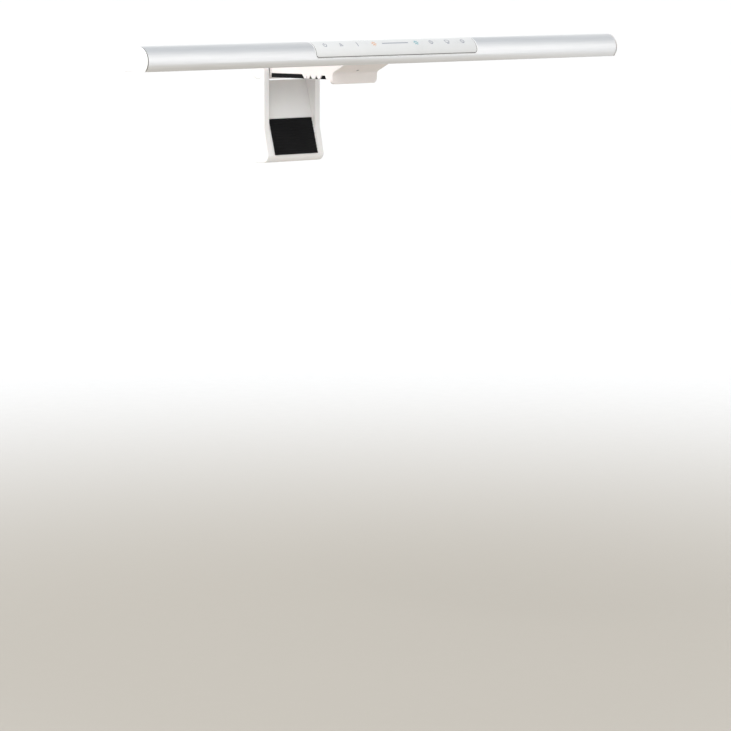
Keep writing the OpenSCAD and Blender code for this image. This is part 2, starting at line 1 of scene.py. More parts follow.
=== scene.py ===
"""Monitor light bar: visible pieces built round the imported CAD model.

Shapes are written in millimetres in the CAD frame, and MM turns them into metres: X along the lamp, Y from
the monitor's front face to its back, Z up from the monitor's top.
"""

import math

import bmesh
import bpy
from mathutils import Matrix, Vector


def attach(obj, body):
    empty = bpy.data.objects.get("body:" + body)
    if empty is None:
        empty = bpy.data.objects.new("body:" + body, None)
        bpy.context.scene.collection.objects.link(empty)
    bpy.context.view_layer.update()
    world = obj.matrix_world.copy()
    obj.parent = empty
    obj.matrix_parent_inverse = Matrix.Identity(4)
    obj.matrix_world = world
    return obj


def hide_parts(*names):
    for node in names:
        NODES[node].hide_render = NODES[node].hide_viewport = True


MM = 0.001
WELD = 2e-6       # vertices closer than this, in metres, are one
TINY = 1e-6       # shorter sides of an outline, in millimetres, have no direction
SMOOTH = 32       # edges that turn less than this many degrees are shaded smooth

# ---------------- frame and size

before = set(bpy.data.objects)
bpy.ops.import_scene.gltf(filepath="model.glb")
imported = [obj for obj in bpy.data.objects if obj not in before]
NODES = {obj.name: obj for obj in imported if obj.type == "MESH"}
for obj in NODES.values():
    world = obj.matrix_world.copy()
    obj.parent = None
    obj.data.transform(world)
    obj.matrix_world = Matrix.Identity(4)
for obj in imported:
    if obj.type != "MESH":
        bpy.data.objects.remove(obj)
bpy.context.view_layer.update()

# ---------------- node-based materials

NOISE_SPREAD = {"From Min": 0.3, "From Max": 0.7}     # where most of a noise texture's values lie


def add(tree, kind, inputs, output, **options):
    """Adds a shader node with options. Each of its inputs gets a value or another node's output."""
    node = tree.nodes.new("ShaderNode" + kind)
    for key, value in options.items():
        setattr(node, key, value)
    for key, value in inputs.items():
        if isinstance(value, bpy.types.NodeSocket):
            tree.links.new(value, node.inputs[key])
        else:
            node.inputs[key].default_value = value
    return node.outputs[output]


def noise(tree, scale, detail, stretch=(1, 1, 1)):
    """Noise in object space with scale features per metre, drawn out along an axis whose stretch is small."""
    place = add(tree, "Mapping", {"Vector": add(tree, "TexCoord", {}, "Object"), "Scale": stretch}, "Vector")
    inputs = {"Vector": place, "Scale": scale, "Detail": detail, "Roughness": 0.55}
    return add(tree, "TexNoise", inputs, "Fac")


def ranged(tree, value, low, high):
    """The noise value spread over low to high."""
    return add(tree, "MapRange", {"Value": value, "To Min": low, "To Max": high, **NOISE_SPREAD}, "Result")


def mixed(tree, factor, a, b):
    return add(tree, "Mix", {"Factor": factor, "A": a, "B": b}, "Result", data_type="RGBA")


def bump(tree, height, strength, depth, **below):
    return add(tree, "Bump", {"Height": height, "Strength": strength, "Distance": depth, **below}, "Normal")


def finish(name, dark, light, rough, grain, depth, metallic=0.0, cloud=60, stretch=(1, 1, 1), **sockets):
    """A surface whose colour runs from dark to light and its roughness over the pair rough, with a bump of
    grain features per metre and the given depth in metres. Other sockets are set to one value each."""
    mat = bpy.data.materials.new(name)
    mat.use_nodes = True
    tree = mat.node_tree
    tree.nodes.clear()
    clouds = noise(tree, cloud, 4.0, stretch)
    fine = noise(tree, grain, 2.0, stretch)
    colour = mixed(tree, ranged(tree, clouds, 0, 1), (*dark, 1), (*light, 1))
    halves = [ranged(tree, grey, rough[0] / 2, rough[1] / 2) for grey in (clouds, fine)]
    both = add(tree, "Math", dict(enumerate(halves)), 0, operation="ADD")
    coarse = bump(tree, noise(tree, grain / 7, 3.0, stretch), 0.25, depth * 3)
    relief = bump(tree, fine, 0.8, depth, Normal=coarse)
    inputs = {"Base Color": colour, "Roughness": both, "Metallic": metallic, "Normal": relief}
    inputs.update({key.replace("_", " "): value for key, value in sockets.items()})
    surface = add(tree, "BsdfPrincipled", inputs, "BSDF")
    tree.links.new(surface, tree.nodes.new("ShaderNodeOutputMaterial").inputs["Surface"])
    return mat


STREAKS = {"cloud": 900, "stretch": (0.03, 1, 1)}
METAL = {"metallic": 1.0, "cloud": 500}
THIN_WHITE = {"Subsurface_Weight": 0.05, "Subsurface_Scale": 0.002}
M = {
    # bead-blasted and anodised extrusion: faint streaks along its length under a fine blast texture
    "sleeve": finish("anodised_aluminium", (0.815, 0.82, 0.83), (0.865, 0.87, 0.878), (0.36, 0.44), 5200,
                     6e-6, metallic=0.9, **STREAKS),
    "edge": finish("polished_edge", (0.88, 0.882, 0.885), (0.93, 0.932, 0.935), (0.24, 0.32), 6000, 1.5e-6,
                   metallic=1, cloud=400),
    "cap": finish("white_cap_plastic", (0.85, 0.845, 0.835), (0.88, 0.875, 0.865), (0.34, 0.44), 4200, 5e-6,
                  Subsurface_Weight=0.04, Subsurface_Scale=0.002),
    "rim": finish("white_rim_plastic", (0.87, 0.87, 0.86), (0.9, 0.9, 0.89), (0.24, 0.32), 4200, 4e-6),
    # painted shade: a dark colour laid on the faces inside the grooves and gaps round the caps and the panel,
    # where there is only shade
    "gap": finish("painted_gap_shade", (0.055, 0.047, 0.042), (0.085, 0.075, 0.068), (0.6, 0.75), 3600,
                  6e-6),
    "panel": finish("panel_plastic", (0.695, 0.7, 0.695), (0.72, 0.725, 0.72), (0.26, 0.33), 5200, 3e-6,
                    Coat_Weight=0.15, Coat_Roughness=0.25),
    "print_grey": finish("print_grey", (0.25, 0.26, 0.31), (0.3, 0.31, 0.36), (0.45, 0.55), 6000, 2e-6),
    "print_warm": finish("print_warm", (0.66, 0.27, 0.09), (0.72, 0.33, 0.13), (0.45, 0.55), 6000, 2e-6),
    "print_cool": finish("print_cool", (0.03, 0.3, 0.36), (0.05, 0.37, 0.43), (0.45, 0.55), 6000, 2e-6),
    "clip": finish("clip_plastic", (0.79, 0.745, 0.72), (0.825, 0.78, 0.755), (0.38, 0.5), 3600, 8e-6,
                   **THIN_WHITE),
    "arm": finish("arm_plastic", (0.83, 0.815, 0.8), (0.86, 0.845, 0.83), (0.38, 0.5), 3600, 8e-6,
                  **THIN_WHITE),
    "bracket": finish("powder_coat", (0.8, 0.8, 0.79), (0.85, 0.85, 0.84), (0.42, 0.56), 2600, 1.6e-5),
    "diffuser": finish("opal_diffuser", (0.88, 0.88, 0.865), (0.92, 0.92, 0.905), (0.4, 0.5), 3000, 6e-6,
                       Subsurface_Weight=0.35, Subsurface_Scale=0.004),
    "rubber": finish("black_rubber", (0.004, 0.004, 0.0045), (0.009, 0.009, 0.0095), (0.68, 0.85), 2400,
                     2.4e-5, Specular_IOR_Level=0.12),
    "black": finish("black_plastic", (0.012, 0.012, 0.013), (0.02, 0.02, 0.022), (0.32, 0.44), 3600, 8e-6),
    "lens": finish("dark_lens", (0.008, 0.008, 0.012), (0.014, 0.014, 0.02), (0.05, 0.12), 6000, 5e-7,
                   Coat_Weight=1.0, Coat_Roughness=0.05),
    "steel": finish("plated_steel", (0.5, 0.5, 0.49), (0.6, 0.6, 0.59), (0.24, 0.4), 2800, 6e-6,
                    metallic=1, cloud=300),
    "screw": finish("zinc_screw", (0.42, 0.42, 0.43), (0.55, 0.55, 0.56), (0.25, 0.42), 3000, 8e-6, **METAL),
    "shell": finish("nickel_shell", (0.62, 0.61, 0.59), (0.7, 0.69, 0.67), (0.14, 0.26), 4000, 3e-6, **METAL),
    "contact": finish("gold_contacts", (0.8, 0.56, 0.22), (0.88, 0.64, 0.28), (0.18, 0.28), 5000, 2e-6,
                      **METAL),
    "spring": finish("spring_steel", (0.28, 0.28, 0.29), (0.4, 0.4, 0.41), (0.28, 0.42), 3000, 6e-6, **METAL),
    "bronze": finish("phosphor_bronze", (0.52, 0.33, 0.17), (0.66, 0.44, 0.25), (0.28, 0.42), 2500, 6e-6,
                     **METAL),
    "iron": finish("black_iron", (0.05, 0.05, 0.052), (0.1, 0.1, 0.1), (0.5, 0.72), 1200, 4e-5,
                   metallic=0.7, cloud=200),
    "mill": finish("mill_aluminium", (0.58, 0.585, 0.59), (0.68, 0.685, 0.69), (0.3, 0.46), 3200, 8e-6,
                   metallic=1, **STREAKS),
    "green": finish("green_mask", (0.012, 0.1, 0.045), (0.03, 0.17, 0.075), (0.28, 0.4), 1500, 1.2e-5,
                    cloud=700, Coat_Weight=0.4),
    "white_mask": finish("white_mask", (0.78, 0.78, 0.75), (0.86, 0.86, 0.83), (0.32, 0.42), 1800, 8e-6),
    "part": finish("moulded_parts", (0.02, 0.02, 0.022), (0.05, 0.05, 0.055), (0.35, 0.5), 2200, 1e-5,
                   cloud=600),
    "lead": finish("lead_insulation", (0.38, 0.02, 0.02), (0.5, 0.04, 0.03), (0.35, 0.45), 2500, 8e-6),
    "foil": finish("copper_foil", (0.55, 0.26, 0.06), (0.72, 0.4, 0.12), (0.3, 0.45), 1600, 6e-6,
                   metallic=0.4, cloud=500),
    "guide": finish("clear_guide", (0.9, 0.92, 0.93), (0.94, 0.95, 0.96), (0.08, 0.16), 2500, 3e-6,
                    Transmission_Weight=0.8, IOR=1.49),
    "warm_led": finish("warm_phosphor", (0.82, 0.46, 0.09), (0.92, 0.58, 0.16), (0.35, 0.5), 4000, 8e-6),
    "cool_led": finish("cool_phosphor", (0.84, 0.74, 0.25), (0.92, 0.84, 0.4), (0.35, 0.5), 4000, 8e-6),
    "reflector": finish("reflective_film", (0.9, 0.9, 0.9), (0.95, 0.95, 0.95), (0.16, 0.28), 2500, 4e-6),
}

# finish of every CAD node that stays as it is
CARRIED = {
    "touch_film": "foil", "light_guide": "guide", "touch_board": "green", "driver_board": "green",
    "driver_parts": "part", "supply_leads": "lead", "chassis": "mill", "led_board": "white_mask",
    "led_chips_warm": "warm_led", "led_chips_cool": "cool_led", "reflector": "reflector",
    "socket_board": "green", "nut_plate": "steel", "cover_screws": "screw", "spine_plate": "steel",
    "sensor_board": "green", "friction_washers": "bronze", "torsion_springs": "spring",
    "counterweight": "iron", "hinge_pin": "steel",
}
for name, key in CARRIED.items():
    NODES[name].data.materials.clear()
    NODES[name].data.materials.append(M[key])

# ---------------- mesh helpers


class Shape:
    """Collects faces given by corner points in millimetres; equal corners become one vertex."""

    def __init__(self):
        self.bm = bmesh.new()
        self.seen = {}

    def vertex(self, p):
        key = tuple(round(c, 3) + 0.0 for c in p)
        if key not in self.seen:
            self.seen[key] = self.bm.verts.new(key)
        return self.seen[key]

    def face(self, points, mat=0):
        corners = []
        for v in (self.vertex(p) for p in points):
            if v not in corners:
                corners.append(v)
        if len(corners) < 3 or self.bm.faces.get(corners):
            return
        self.bm.faces.new(corners).material_index = mat

    def strip(self, a, b, mat=0, closed=False):
        """Quads between two rows of points."""
        n = len(a)
        for i in range(n if closed else n - 1):
            j = (i + 1) % n
            self.face([a[i], a[j], b[j], b[i]], mat)

    def rows(self, rows, mat=0, closed=False):
        for a, b in zip(rows, rows[1:]):
            self.strip(a, b, mat, closed)

    def object(self, name, sharp=SMOOTH):
        """Turns the shape into an object in metres, smooth except across edges of sharp degrees or more."""
        bmesh.ops.recalc_face_normals(self.bm, faces=self.bm.faces)
        bmesh.ops.scale(self.bm, vec=(MM,) * 3, verts=self.bm.verts)
        smooth(self.bm, sharp)
        mesh = bpy.data.meshes.new(name)
        self.bm.to_mesh(mesh)
        self.bm.free()
        obj = bpy.data.objects.new(name, mesh)
        bpy.context.scene.collection.objects.link(obj)
        return obj


def smooth(bm, sharp):
    for f in bm.faces:
        f.smooth = True
    for e in bm.edges:
        e.smooth = len(e.link_faces) == 2 and e.calc_face_angle(math.pi) < math.radians(sharp)


def applied(obj):
    """Bakes the object's modifiers into its mesh."""
    graph = bpy.context.evaluated_depsgraph_get()
    baked = obj.evaluated_get(graph)
    mesh = bpy.data.meshes.new_from_object(baked, preserve_all_data_layers=True, depsgraph=graph)
    old = obj.data
    obj.modifiers.clear()
    obj.data = mesh
    mesh.name = obj.name
    if old.users == 0:
        bpy.data.meshes.remove(old)
    return obj


def remove(obj):
    mesh = obj.data
    bpy.data.objects.remove(obj)
    bpy.data.meshes.remove(mesh)


def piece(obj, body, mats, replaces=None):
    for m in [mats] if isinstance(mats, str) else mats:
        obj.data.materials.append(M[m])
    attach(obj, body)
    if replaces:
        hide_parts(replaces)


def arc(c, r, a0, a1, n):
    """n + 1 points on a circle, from angle a0 to a1 in degrees."""
    angles = [math.radians(a0 + (a1 - a0) * i / n) for i in range(n + 1)]
    return [(c[0] + r * math.cos(a), c[1] + r * math.sin(a)) for a in angles]


def round_rect(x0, z0, x1, z1, r, n=6):
    """Corner-rounded rectangle, counterclockwise."""
    corners = ((x1 - r, z0 + r), (x1 - r, z1 - r), (x0 + r, z1 - r), (x0 + r, z0 + r))
    return [p for i, c in enumerate(corners) for p in arc(c, r, 90 * i - 90, 90 * i, n)]


def inset(loop, d):
    """A closed outline, counterclockwise, drawn in by d along its corners' bisectors."""
    out = []
    for p, q, s in zip(loop[-1:] + loop, loop, loop[1:] + loop[:1]):
        p, q, s = Vector(p), Vector(q), Vector(s)
        ways = [w.normalized() for w in (q - p, s - q) if w.length >= TINY]
        normals = [Vector((-w.y, w.x)) for w in ways]
        both = normals[0] + normals[-1]
        out.append(tuple(q + both * (d / max(both.length_squared / 2, 0.3))))
    return out


def along_x(x):
    return lambda u, v: (x, u, v)


def along_y(y):
    return lambda u, v: (u, y, v)


def along_z(z):
    return lambda u, v: (u, v, z)


def prism(loop, place, lo, hi, soft=0.0, steps=3, mat=0, shape=None):
    """A solid with the outline loop from lo to hi along the axis of place. Its end edges are rounded by soft,
    which may be a pair for lo and hi."""
    shape = shape or Shape()
    rings = []
    for end, r, side in zip((lo, hi), soft if isinstance(soft, tuple) else (soft, soft), (1, -1)):
        turns = [math.pi / 2 * i / steps for i in range(steps + 1 if r > 0 else 1)]
        for a in turns[::side]:
            put = place(end + side * r * (1 - math.cos(a)))
            rings.append([put(*p) for p in inset(loop, r * (1 - math.sin(a)))])
    shape.face(rings[0], mat)
    shape.rows(rings, mat, closed=True)
    shape.face(rings[-1], mat)
    return shape


def lathe(profile, centre, place, n=48):
    """Turns the profile, (radius, height) pairs, round the axis of place through centre. A profile that ends
    where it starts makes a tube, and any other one gets flat ends."""
    shape = Shape()
    turns = [2 * math.pi * i / n for i in range(n)]
    rings = []
    for r, h in profile:
        corners = (place(h)(r * math.cos(a), r * math.sin(a)) for a in turns)
        rings.append([tuple(c + p for c, p in zip(centre, corner)) for corner in corners])
    shape.rows(rings, closed=True)
    if profile[0] != profile[-1]:
        shape.face(rings[0])
        shape.face(rings[-1])
    return shape


def combined(obj, tools, how):
    """Joins each tool, a Shape or an object, to obj, or cuts obj by it, and removes the tool."""
    for tool in tools:
        other = tool.object("tool") if isinstance(tool, Shape) else tool
        mod = obj.modifiers.new("combine", "BOOLEAN")
        mod.operation = how
        mod.solver = "EXACT"
        mod.object = other
        applied(obj)
        remove(other)
    return obj


def joined(obj, *tools):
    return combined(obj, tools, "UNION")


def cut(obj, *tools):
    return combined(obj, tools, "DIFFERENCE")


def soften(obj, rule):
    """Rounds the sharp edges of obj: rule(middle, direction) gives each edge's width in millimetres."""
    bm = bmesh.new()
    bm.from_mesh(obj.data)
    bmesh.ops.remove_doubles(bm, verts=bm.verts, dist=WELD)
    bmesh.ops.dissolve_limit(bm, angle_limit=math.radians(0.6), verts=bm.verts, edges=bm.edges)
    bmesh.ops.dissolve_degenerate(bm, dist=WELD, edges=bm.edges)
    layer = bm.edges.layers.float.get("bevel_weight_edge") or bm.edges.layers.float.new("bevel_weight_edge")
    sharp = math.radians(25)
    widths = []
    for e in bm.edges:
        a, b = (v.co / MM for v in e.verts)
        turns = len(e.link_faces) == 2 and e.calc_face_angle(0) > sharp
        widths.append(rule((a + b) / 2, (b - a).normalized()) if turns else 0.0)
    widest = max(widths)
    for e, width in zip(bm.edges, widths):
        e[layer] = width / widest
    bm.to_mesh(obj.data)
    bm.free()
    mod = obj.modifiers.new("round", "BEVEL")
    mod.limit_method = "WEIGHT"
    mod.width = widest * MM
    mod.segments = 3
    mod.use_clamp_overlap = False
    mod.miter_outer = "MITER_ARC"
    mod.loop_slide = False
    return applied(obj)


def shaded(obj):
    """Shades flat faces flat and lets their narrow rounded edges take up the turn."""
    bm = bmesh.new()
    bm.from_mesh(obj.data)
    bmesh.ops.remove_doubles(bm, verts=bm.verts, dist=WELD)
    smooth(bm, SMOOTH)
    bm.to_mesh(obj.data)
    bm.free()
    mod = obj.modifiers.new("even", "WEIGHTED_NORMAL")
    mod.keep_sharp = True
    mod.weight = 60
    return applied(obj)


def merged(objs, name):
    """One object from several closed ones."""
    first, *others = objs
    bm = bmesh.new()
    for o in objs:
        bm.from_mesh(o.data)
    for o in others:
        remove(o)
    bm.to_mesh(first.data)
    bm.free()
    first.name = first.data.name = name
    return first


# ---------------- lamp section

FRONT_C, FRONT_R = (-41.0, 20.6), 10.4
BACK_C, BACK_R = (-39.5, 17.0), 14.0
LOW, HIGH, BACK = 12.9, 31.0, -25.5
NOSE_R = 0.5      # rounding between the front and the flat underside
HEEL_R = 1.5      # rounding between the back and the flat underside
WALL = 1.3
SLOT = (-46.0, -28.5)
BAR = 248.5       # half the sleeve's length
END = 250.0       # half the lamp's length

ARC_FLAT = FRONT_R * math.pi / 2              # arc length from the front-most point to the flat top
ARC_BACK = ARC_FLAT + BACK_C[0] - FRONT_C[0]  # and to the start of the rounded back
ARC_END = ARC_BACK + BACK_R * math.pi / 2     # and to its end
BEFORE = 7                                    # points of a section before its first curved row


def skin(s, t=0.0):
    """The point (y, z) at arc length s above the front-most point of the section, t below the surface."""
    if s <= ARC_FLAT:
        a = math.pi - s / FRONT_R
        return FRONT_C[0] + (FRONT_R - t) * math.cos(a), FRONT_C[1] + (FRONT_R - t) * math.sin(a)
    if s <= ARC_BACK:
        return FRONT_C[0] + s - ARC_FLAT, HIGH - t
    a = math.pi / 2 - (s - ARC_BACK) / BACK_R
    return BACK_C[0] + (BACK_R - t) * math.cos(a), BACK_C[1] + (BACK_R - t) * math.sin(a)


def front_s(z):
    """Arc length of the height z on the rounded front."""
    return FRONT_R * math.asin((z - FRONT_C[1]) / FRONT_R)


def back_s(y):
    """Arc length of the depth y on the rounded back."""
    return ARC_BACK + BACK_R * (math.pi / 2 - math.acos((y - BACK_C[0]) / BACK_R))


def spaced(a, b, step):
    n = max(1, round((b - a) / step))
    return [a + (b - a) * i / n for i in range(n)]


def curved_rows(hole=()):
    """Arc lengths of a section's curved rows. Inside the hole's range only the hole's own rows are used."""
    plain = spaced(front_s(LOW + 0.7), ARC_FLAT, 0.55) + spaced(ARC_FLAT, ARC_BACK, 0.75)
    plain += spaced(ARC_BACK, ARC_END, 0.7) + [ARC_END]
    if not hole:
        return plain
    lo, hi = min(hole), max(hole)
    return [s for s in plain if s < lo - 0.2] + list(hole) + [s for s in plain if s > hi + 0.2]


def section(t, rows):
    """The section drawn in by t, from the slot's front lip round the front, top and back to its rear lip."""
    r = max(NOSE_R - t, 0.02)
    z = LOW + t + r
    y = FRONT_C[0] - math.sqrt((FRONT_R - t - r) ** 2 - (FRONT_C[1] - z) ** 2)
    start = math.degrees(math.atan2(z - FRONT_C[1], y - FRONT_C[0])) % 360
    points = [(SLOT[0], LOW + t), (SLOT[0] - 0.5, LOW + t)] + arc((y, z), r, 270, start, 4)
    points += [skin(s, t) for s in rows]
    points += [(BACK - t, 16.2), (BACK - t, 15.3)]
    r = max(HEEL_R - t, 0.2)
    points += arc((BACK - t - r, LOW + t + r), r, 0, -90, 6)
    return points + [(SLOT[1] + 0.5, LOW + t), (SLOT[1], LOW + t)]


# ---------------- touch panel's outline

PANEL_X = 85.4
PANEL_S = (front_s(19.7), back_s(-31.0))
PANEL_R = (2.4, 1.6)      # corner radii at its lower and its upper edge
PANEL_WALL = 1.6
WINDOW = 1.05             # from the panel's edge to the sleeve's window


def outline(grow):
    """The panel's outline drawn out by grow, as (x, s) of its right half, from the lower edge up."""
    half = PANEL_X + grow
    s0, s1 = PANEL_S[0] - grow, PANEL_S[1] + grow
    r0, r1 = PANEL_R[0] + grow, PANEL_R[1] + grow
    side = [(half, s) for s in spaced(s0 + r0, s1 - r1, 0.7)[1:]]
    return arc((half - r0, s0 + r0), r0, -90, 0, 8) + side + arc((half - r1, s1 - r1), r1, 0, 90, 6)


def ring(grow, t):
    """The outline as a closed ring of points, t below the surface."""
    right = outline(grow)
    return [(x, *skin(s, t)) for x, s in right + [(-x, s) for x, s in reversed(right)]]


def lid(shape, grow, t):
    """Fills the outline on the surface, row by row."""
    shape.rows([[(-x, *skin(s, t)), (x, *skin(s, t))] for x, s in outline(grow)])


def round_over(r):
    """(inset, depth) pairs of a rounded edge, from the side wall up to the surface."""
    turns = [math.pi / 8 * i for i in range(5)]
    return [(r * (1 - math.cos(a)), r * (1 - math.sin(a))) for a in turns]


def skin_sheet(shape, hole, t, far):
    """The sleeve's surface, t below the outside, from -far to far, open over the panel's window."""
    # reach: half the window's width at its rows; columns: where each row's side and middle faces meet
    reach = {round(s, 6): x for x, s in hole}
    rows = curved_rows([s for _, s in hole])
    points = section(t, rows)
    columns, inside = [], []
    for i in range(len(points)):
        k = i - BEFORE
        s = round(rows[k], 6) if 0 <= k < len(rows) else None
        inside.append(s in reach)
        if s in reach:
            columns.append(reach[s])
        else:
            columns.append(hole[0][0] if k < 0 or (s is not None and s < hole[0][1]) else hole[-1][0])
    for i in range(len(points) - 1):
        a, b, x0, x1 = points[i], points[i + 1], columns[i], columns[i + 1]
        for side in (-1, 1):
            shape.face([(side * far, *a), (side * x0, *a), (side * x1, *b), (side * far, *b)])
        if not (inside[i] and inside[i + 1]):
            shape.face([(-x0, *a), (x0, *a), (x1, *b), (-x1, *b)])
    return rows


def make_sleeve():
    """Extruded aluminium sleeve: slot below for the diffuser, window for the panel, polished chamfers."""
    shape = Shape()
    edge = 0.28
    hole = outline(WINDOW + edge)
    chamfer = [(BAR - 0.52, 0.0), (BAR - 0.46, 0.02), (BAR - 0.06, 0.17), (BAR, 0.22)]
    rows = skin_sheet(shape, hole, 0.0, chamfer[0][0])
    skin_sheet(shape, hole, WALL, BAR)
    # window wall, with its polished edge
    steps = [(edge, 0), (0.6 * edge, 0.05), (0.1 * edge, 0.45 * edge + 0.05), (0, edge + 0.1), (0, WALL)]
    rings = [ring(WINDOW + grow, t) for grow, t in steps + [(edge, WALL)]]
    shape.rows(rings[:4], 1, closed=True)
    shape.rows(rings[3:], 0, closed=True)
    # ends: polished chamfer, then the end wall in the dark gap colour, painted shade beside the cap's groove
    for side in (-1, 1):
        loops = [[(side * x, *p) for p in section(t, rows)] for x, t in chamfer + [(BAR, WALL)]]
        shape.rows(loops[:-1], 1)
        shape.rows(loops[-2:], 2)
    # lips of the slot
    for y, column in zip(SLOT, (hole[0][0], hole[-1][0])):
        lip = [(column, 0.0)] + chamfer + [(BAR, WALL), (column, WALL)]
        shape.face([(x, y, LOW + t) for x, t in lip] + [(-x, y, LOW + t) for x, t in reversed(lip)])
    return shape.object("sleeve_shell", 30)


GROOVE = (0.8, 1.3)          # shadow groove between sleeve and cap: width and depth
PLUG, PLUG_LOW = 8, 15.7     # how far a cap's plug goes in, and its lower edge


def make_cap(name, side):
    """End cap: a plate with a rounded rim behind a shadow groove, and a plug that grips the sleeve. The
    groove's floor and the wall below it carry painted shade in the dark gap colour.
    """
    shape = Shape()
    rows = curved_rows()
    face, floor = BAR + GROOVE[0], GROOVE[1]
    steps = [(BAR, 2.0), (BAR, floor), (face, floor), (face, 0.12), (face + 0.05, 0.03), (face + 0.12, 0.0)]
    steps += [(face + 0.2, 0.0)]
    r = END - face - 0.2
    turns = [math.pi / 10 * i for i in range(1, 6)]
    steps += [(END - r + r * math.sin(a), r * (1 - math.cos(a))) for a in turns]
    loops = [[(side * x, *p) for p in section(t, rows)] for x, t in steps]
    shape.face(loops[0])
    # painted shade: the groove's floor and the wall below it take the dark gap colour
    shape.rows(loops[:3], 1, closed=True)
    shape.rows(loops[2:], 0, closed=True)
    shape.face(loops[-1])
    outer, inner = ([p for p in section(t, rows) if p[1] > PLUG_LOW] for t in (WALL + 0.1, WALL + 1.4))
    prism(outer + inner[::-1], along_x, side * (BAR - PLUG), side * (BAR + 0.1), shape=shape)
    return shape.object(name, 40)


def make_frame():
    """The rim round the panel, bevelled inwards to a shadow gap whose ledge and inner wall carry painted
    shade in the dark gap colour.
    """
    shape = Shape()
    low, deep = PANEL_WALL + 0.05, PANEL_WALL + 0.55     # ledge the panel rests on
    profile = [(-1.5, low), (0.48, low), (0.48, 0.2), (0.52, 0.08), (0.6, 0.01), (0.7, 0.0), (0.88, 0.02)]
    profile += [(0.97, 0.1), (1.0, 0.24), (1.0, deep), (-1.5, deep)]
    rings = [ring(grow, t) for grow, t in profile]
    # painted shade: the ledge and the inner wall of the gap take the dark gap colour
    shape.rows(rings[:3], 1, closed=True)
    shape.rows(rings[2:], 0, closed=True)
    shape.strip(rings[-1], rings[0], closed=True)
    return shape.object("panel_rim", 40)


def make_panel():
    """The touch panel, curved with the lamp's front and top."""
    shape = Shape()
    soft = 0.2
    rings = [ring(0, PANEL_WALL)] + [ring(-a, b) for a, b in round_over(soft)]
    # painted shade: the panel's side wall below its rounded edge takes the dark gap colour
    shape.strip(rings[0], rings[1], 1, closed=True)
    shape.rows(rings[1:], closed=True)
    lid(shape, -soft, 0.0)
    lid(shape, 0, PANEL_WALL)
    return shape.object("panel_cover", 30)


piece(make_sleeve(), "lamp", ["sleeve", "edge", "gap"], "sleeve")
piece(make_cap("cap_left", -1), "lamp", ["cap", "gap"], "end_cap_left")
piece(make_cap("cap_right", 1), "lamp", ["cap", "gap"], "end_cap_right")
piece(make_frame(), "lamp", ["rim", "gap"], "panel_frame")
piece(make_panel(), "lamp", ["panel", "gap"], "touch_panel")

# ---------------- printed symbols

INK = 0.02        # how far the print stands on the panel
ROOT_IN = 0.06    # how far it reaches into it
SYMBOL_S = 9.04   # arc length of the symbols' row
LINE = 0.62       # width of the symbols' lines


def ribbon(shape, points, width=LINE, closed=False):
    """A printed line on the panel along points (x, s), in short steps that follow the panel's curve."""
    ends = [Vector(p) for p in points]
    pts = []
    for i in range(len(ends) if closed else len(ends) - 1):
        a, b = ends[i], ends[(i + 1) % len(ends)]
        steps = max(1, math.ceil(abs(b.y - a.y) / 0.5))
        pts += [a.lerp(b, k / steps) for k in range(steps)]
    pts += [] if closed else [ends[-1]]
    n = len(pts)
    sides = []
    for i, p in enumerate(pts):
        before = pts[i - 1] if i or closed else None
        after = pts[(i + 1) % n] if i < n - 1 or closed else None
        ways = [(p - before).normalized()] if before is not None else []
        ways += [(after - p).normalized()] if after is not None else []
        normal = sum((Vector((-w.y, w.x)) for w in ways), Vector((0, 0))).normalized()
        reach = width / 2 / max(0.35, normal.dot(Vector((-ways[0].y, ways[0].x))))
        sides.append((p + normal * reach, p - normal * reach))
    corners = [((a, -INK), (b, -INK), (b, ROOT_IN), (a, ROOT_IN)) for a, b in sides]
    loops = [[(p.x, *skin(p.y, t)) for p, t in loop] for loop in corners]
    for i in range(n if closed else n - 1):
        shape.strip(loops[i], loops[(i + 1) % n], closed=True)
    if not closed:
        shape.face(loops[0])
        shape.face(loops[-1])


def circle(x, r, n=24):
    return arc((x, SYMBOL_S), r, 0, 360, n)[:-1]


def power(g, x):
    ribbon(g, arc((x, SYMBOL_S), 1.6, 125, 415, 22))
    ribbon(g, [(x, SYMBOL_S + 0.3), (x, SYMBOL_S + 2.2)])


def steps(g, x):
    for i, half in enumerate((1.8, 1.3, 0.8)):
        s = SYMBOL_S - 1.3 + 1.3 * i
        ribbon(g, [(x - half, s), (x + half, s)], 0.68)


def stroke(g, x):
    ribbon(g, [(x, SYMBOL_S - 2.2), (x, SYMBOL_S + 2.2)], 0.75)


def sun(g, x, r=1.2, rays=8):
    ribbon(g, circle(x, r, 20), closed=True)
    for i in range(rays):
        a = 2 * math.pi * i / rays
        ends = [(x + (r + d) * math.cos(a), SYMBOL_S + (r + d) * math.sin(a)) for d in (0.75, 1.4)]
        ribbon(g, ends, 0.5)


def slider(g, x):
    ribbon(g, [(x - 14, SYMBOL_S), (x, SYMBOL_S), (x + 13.7, SYMBOL_S)], 0.9)


def auto(g, x):
    ribbon(g, circle(x, 1.75), closed=True)
    ribbon(g, [(x, SYMBOL_S - 0.7), (x, SYMBOL_S + 0.7)])


def stand(g, x):
    ribbon(g, round_rect(x - 2, SYMBOL_S - 0.9, x + 2, SYMBOL_S + 1.8, 0.5, 3), closed=True)
    ribbon(g, [(x - 1.1, SYMBOL_S - 1.9), (x + 1.3, SYMBOL_S - 1.9)])


def clock(g, x):
    ribbon(g, circle(x, 1.75), closed=True)
    ribbon(g, [(x, SYMBOL_S + 0.9), (x, SYMBOL_S), (x + 0.7, SYMBOL_S - 0.45)], 0.5)


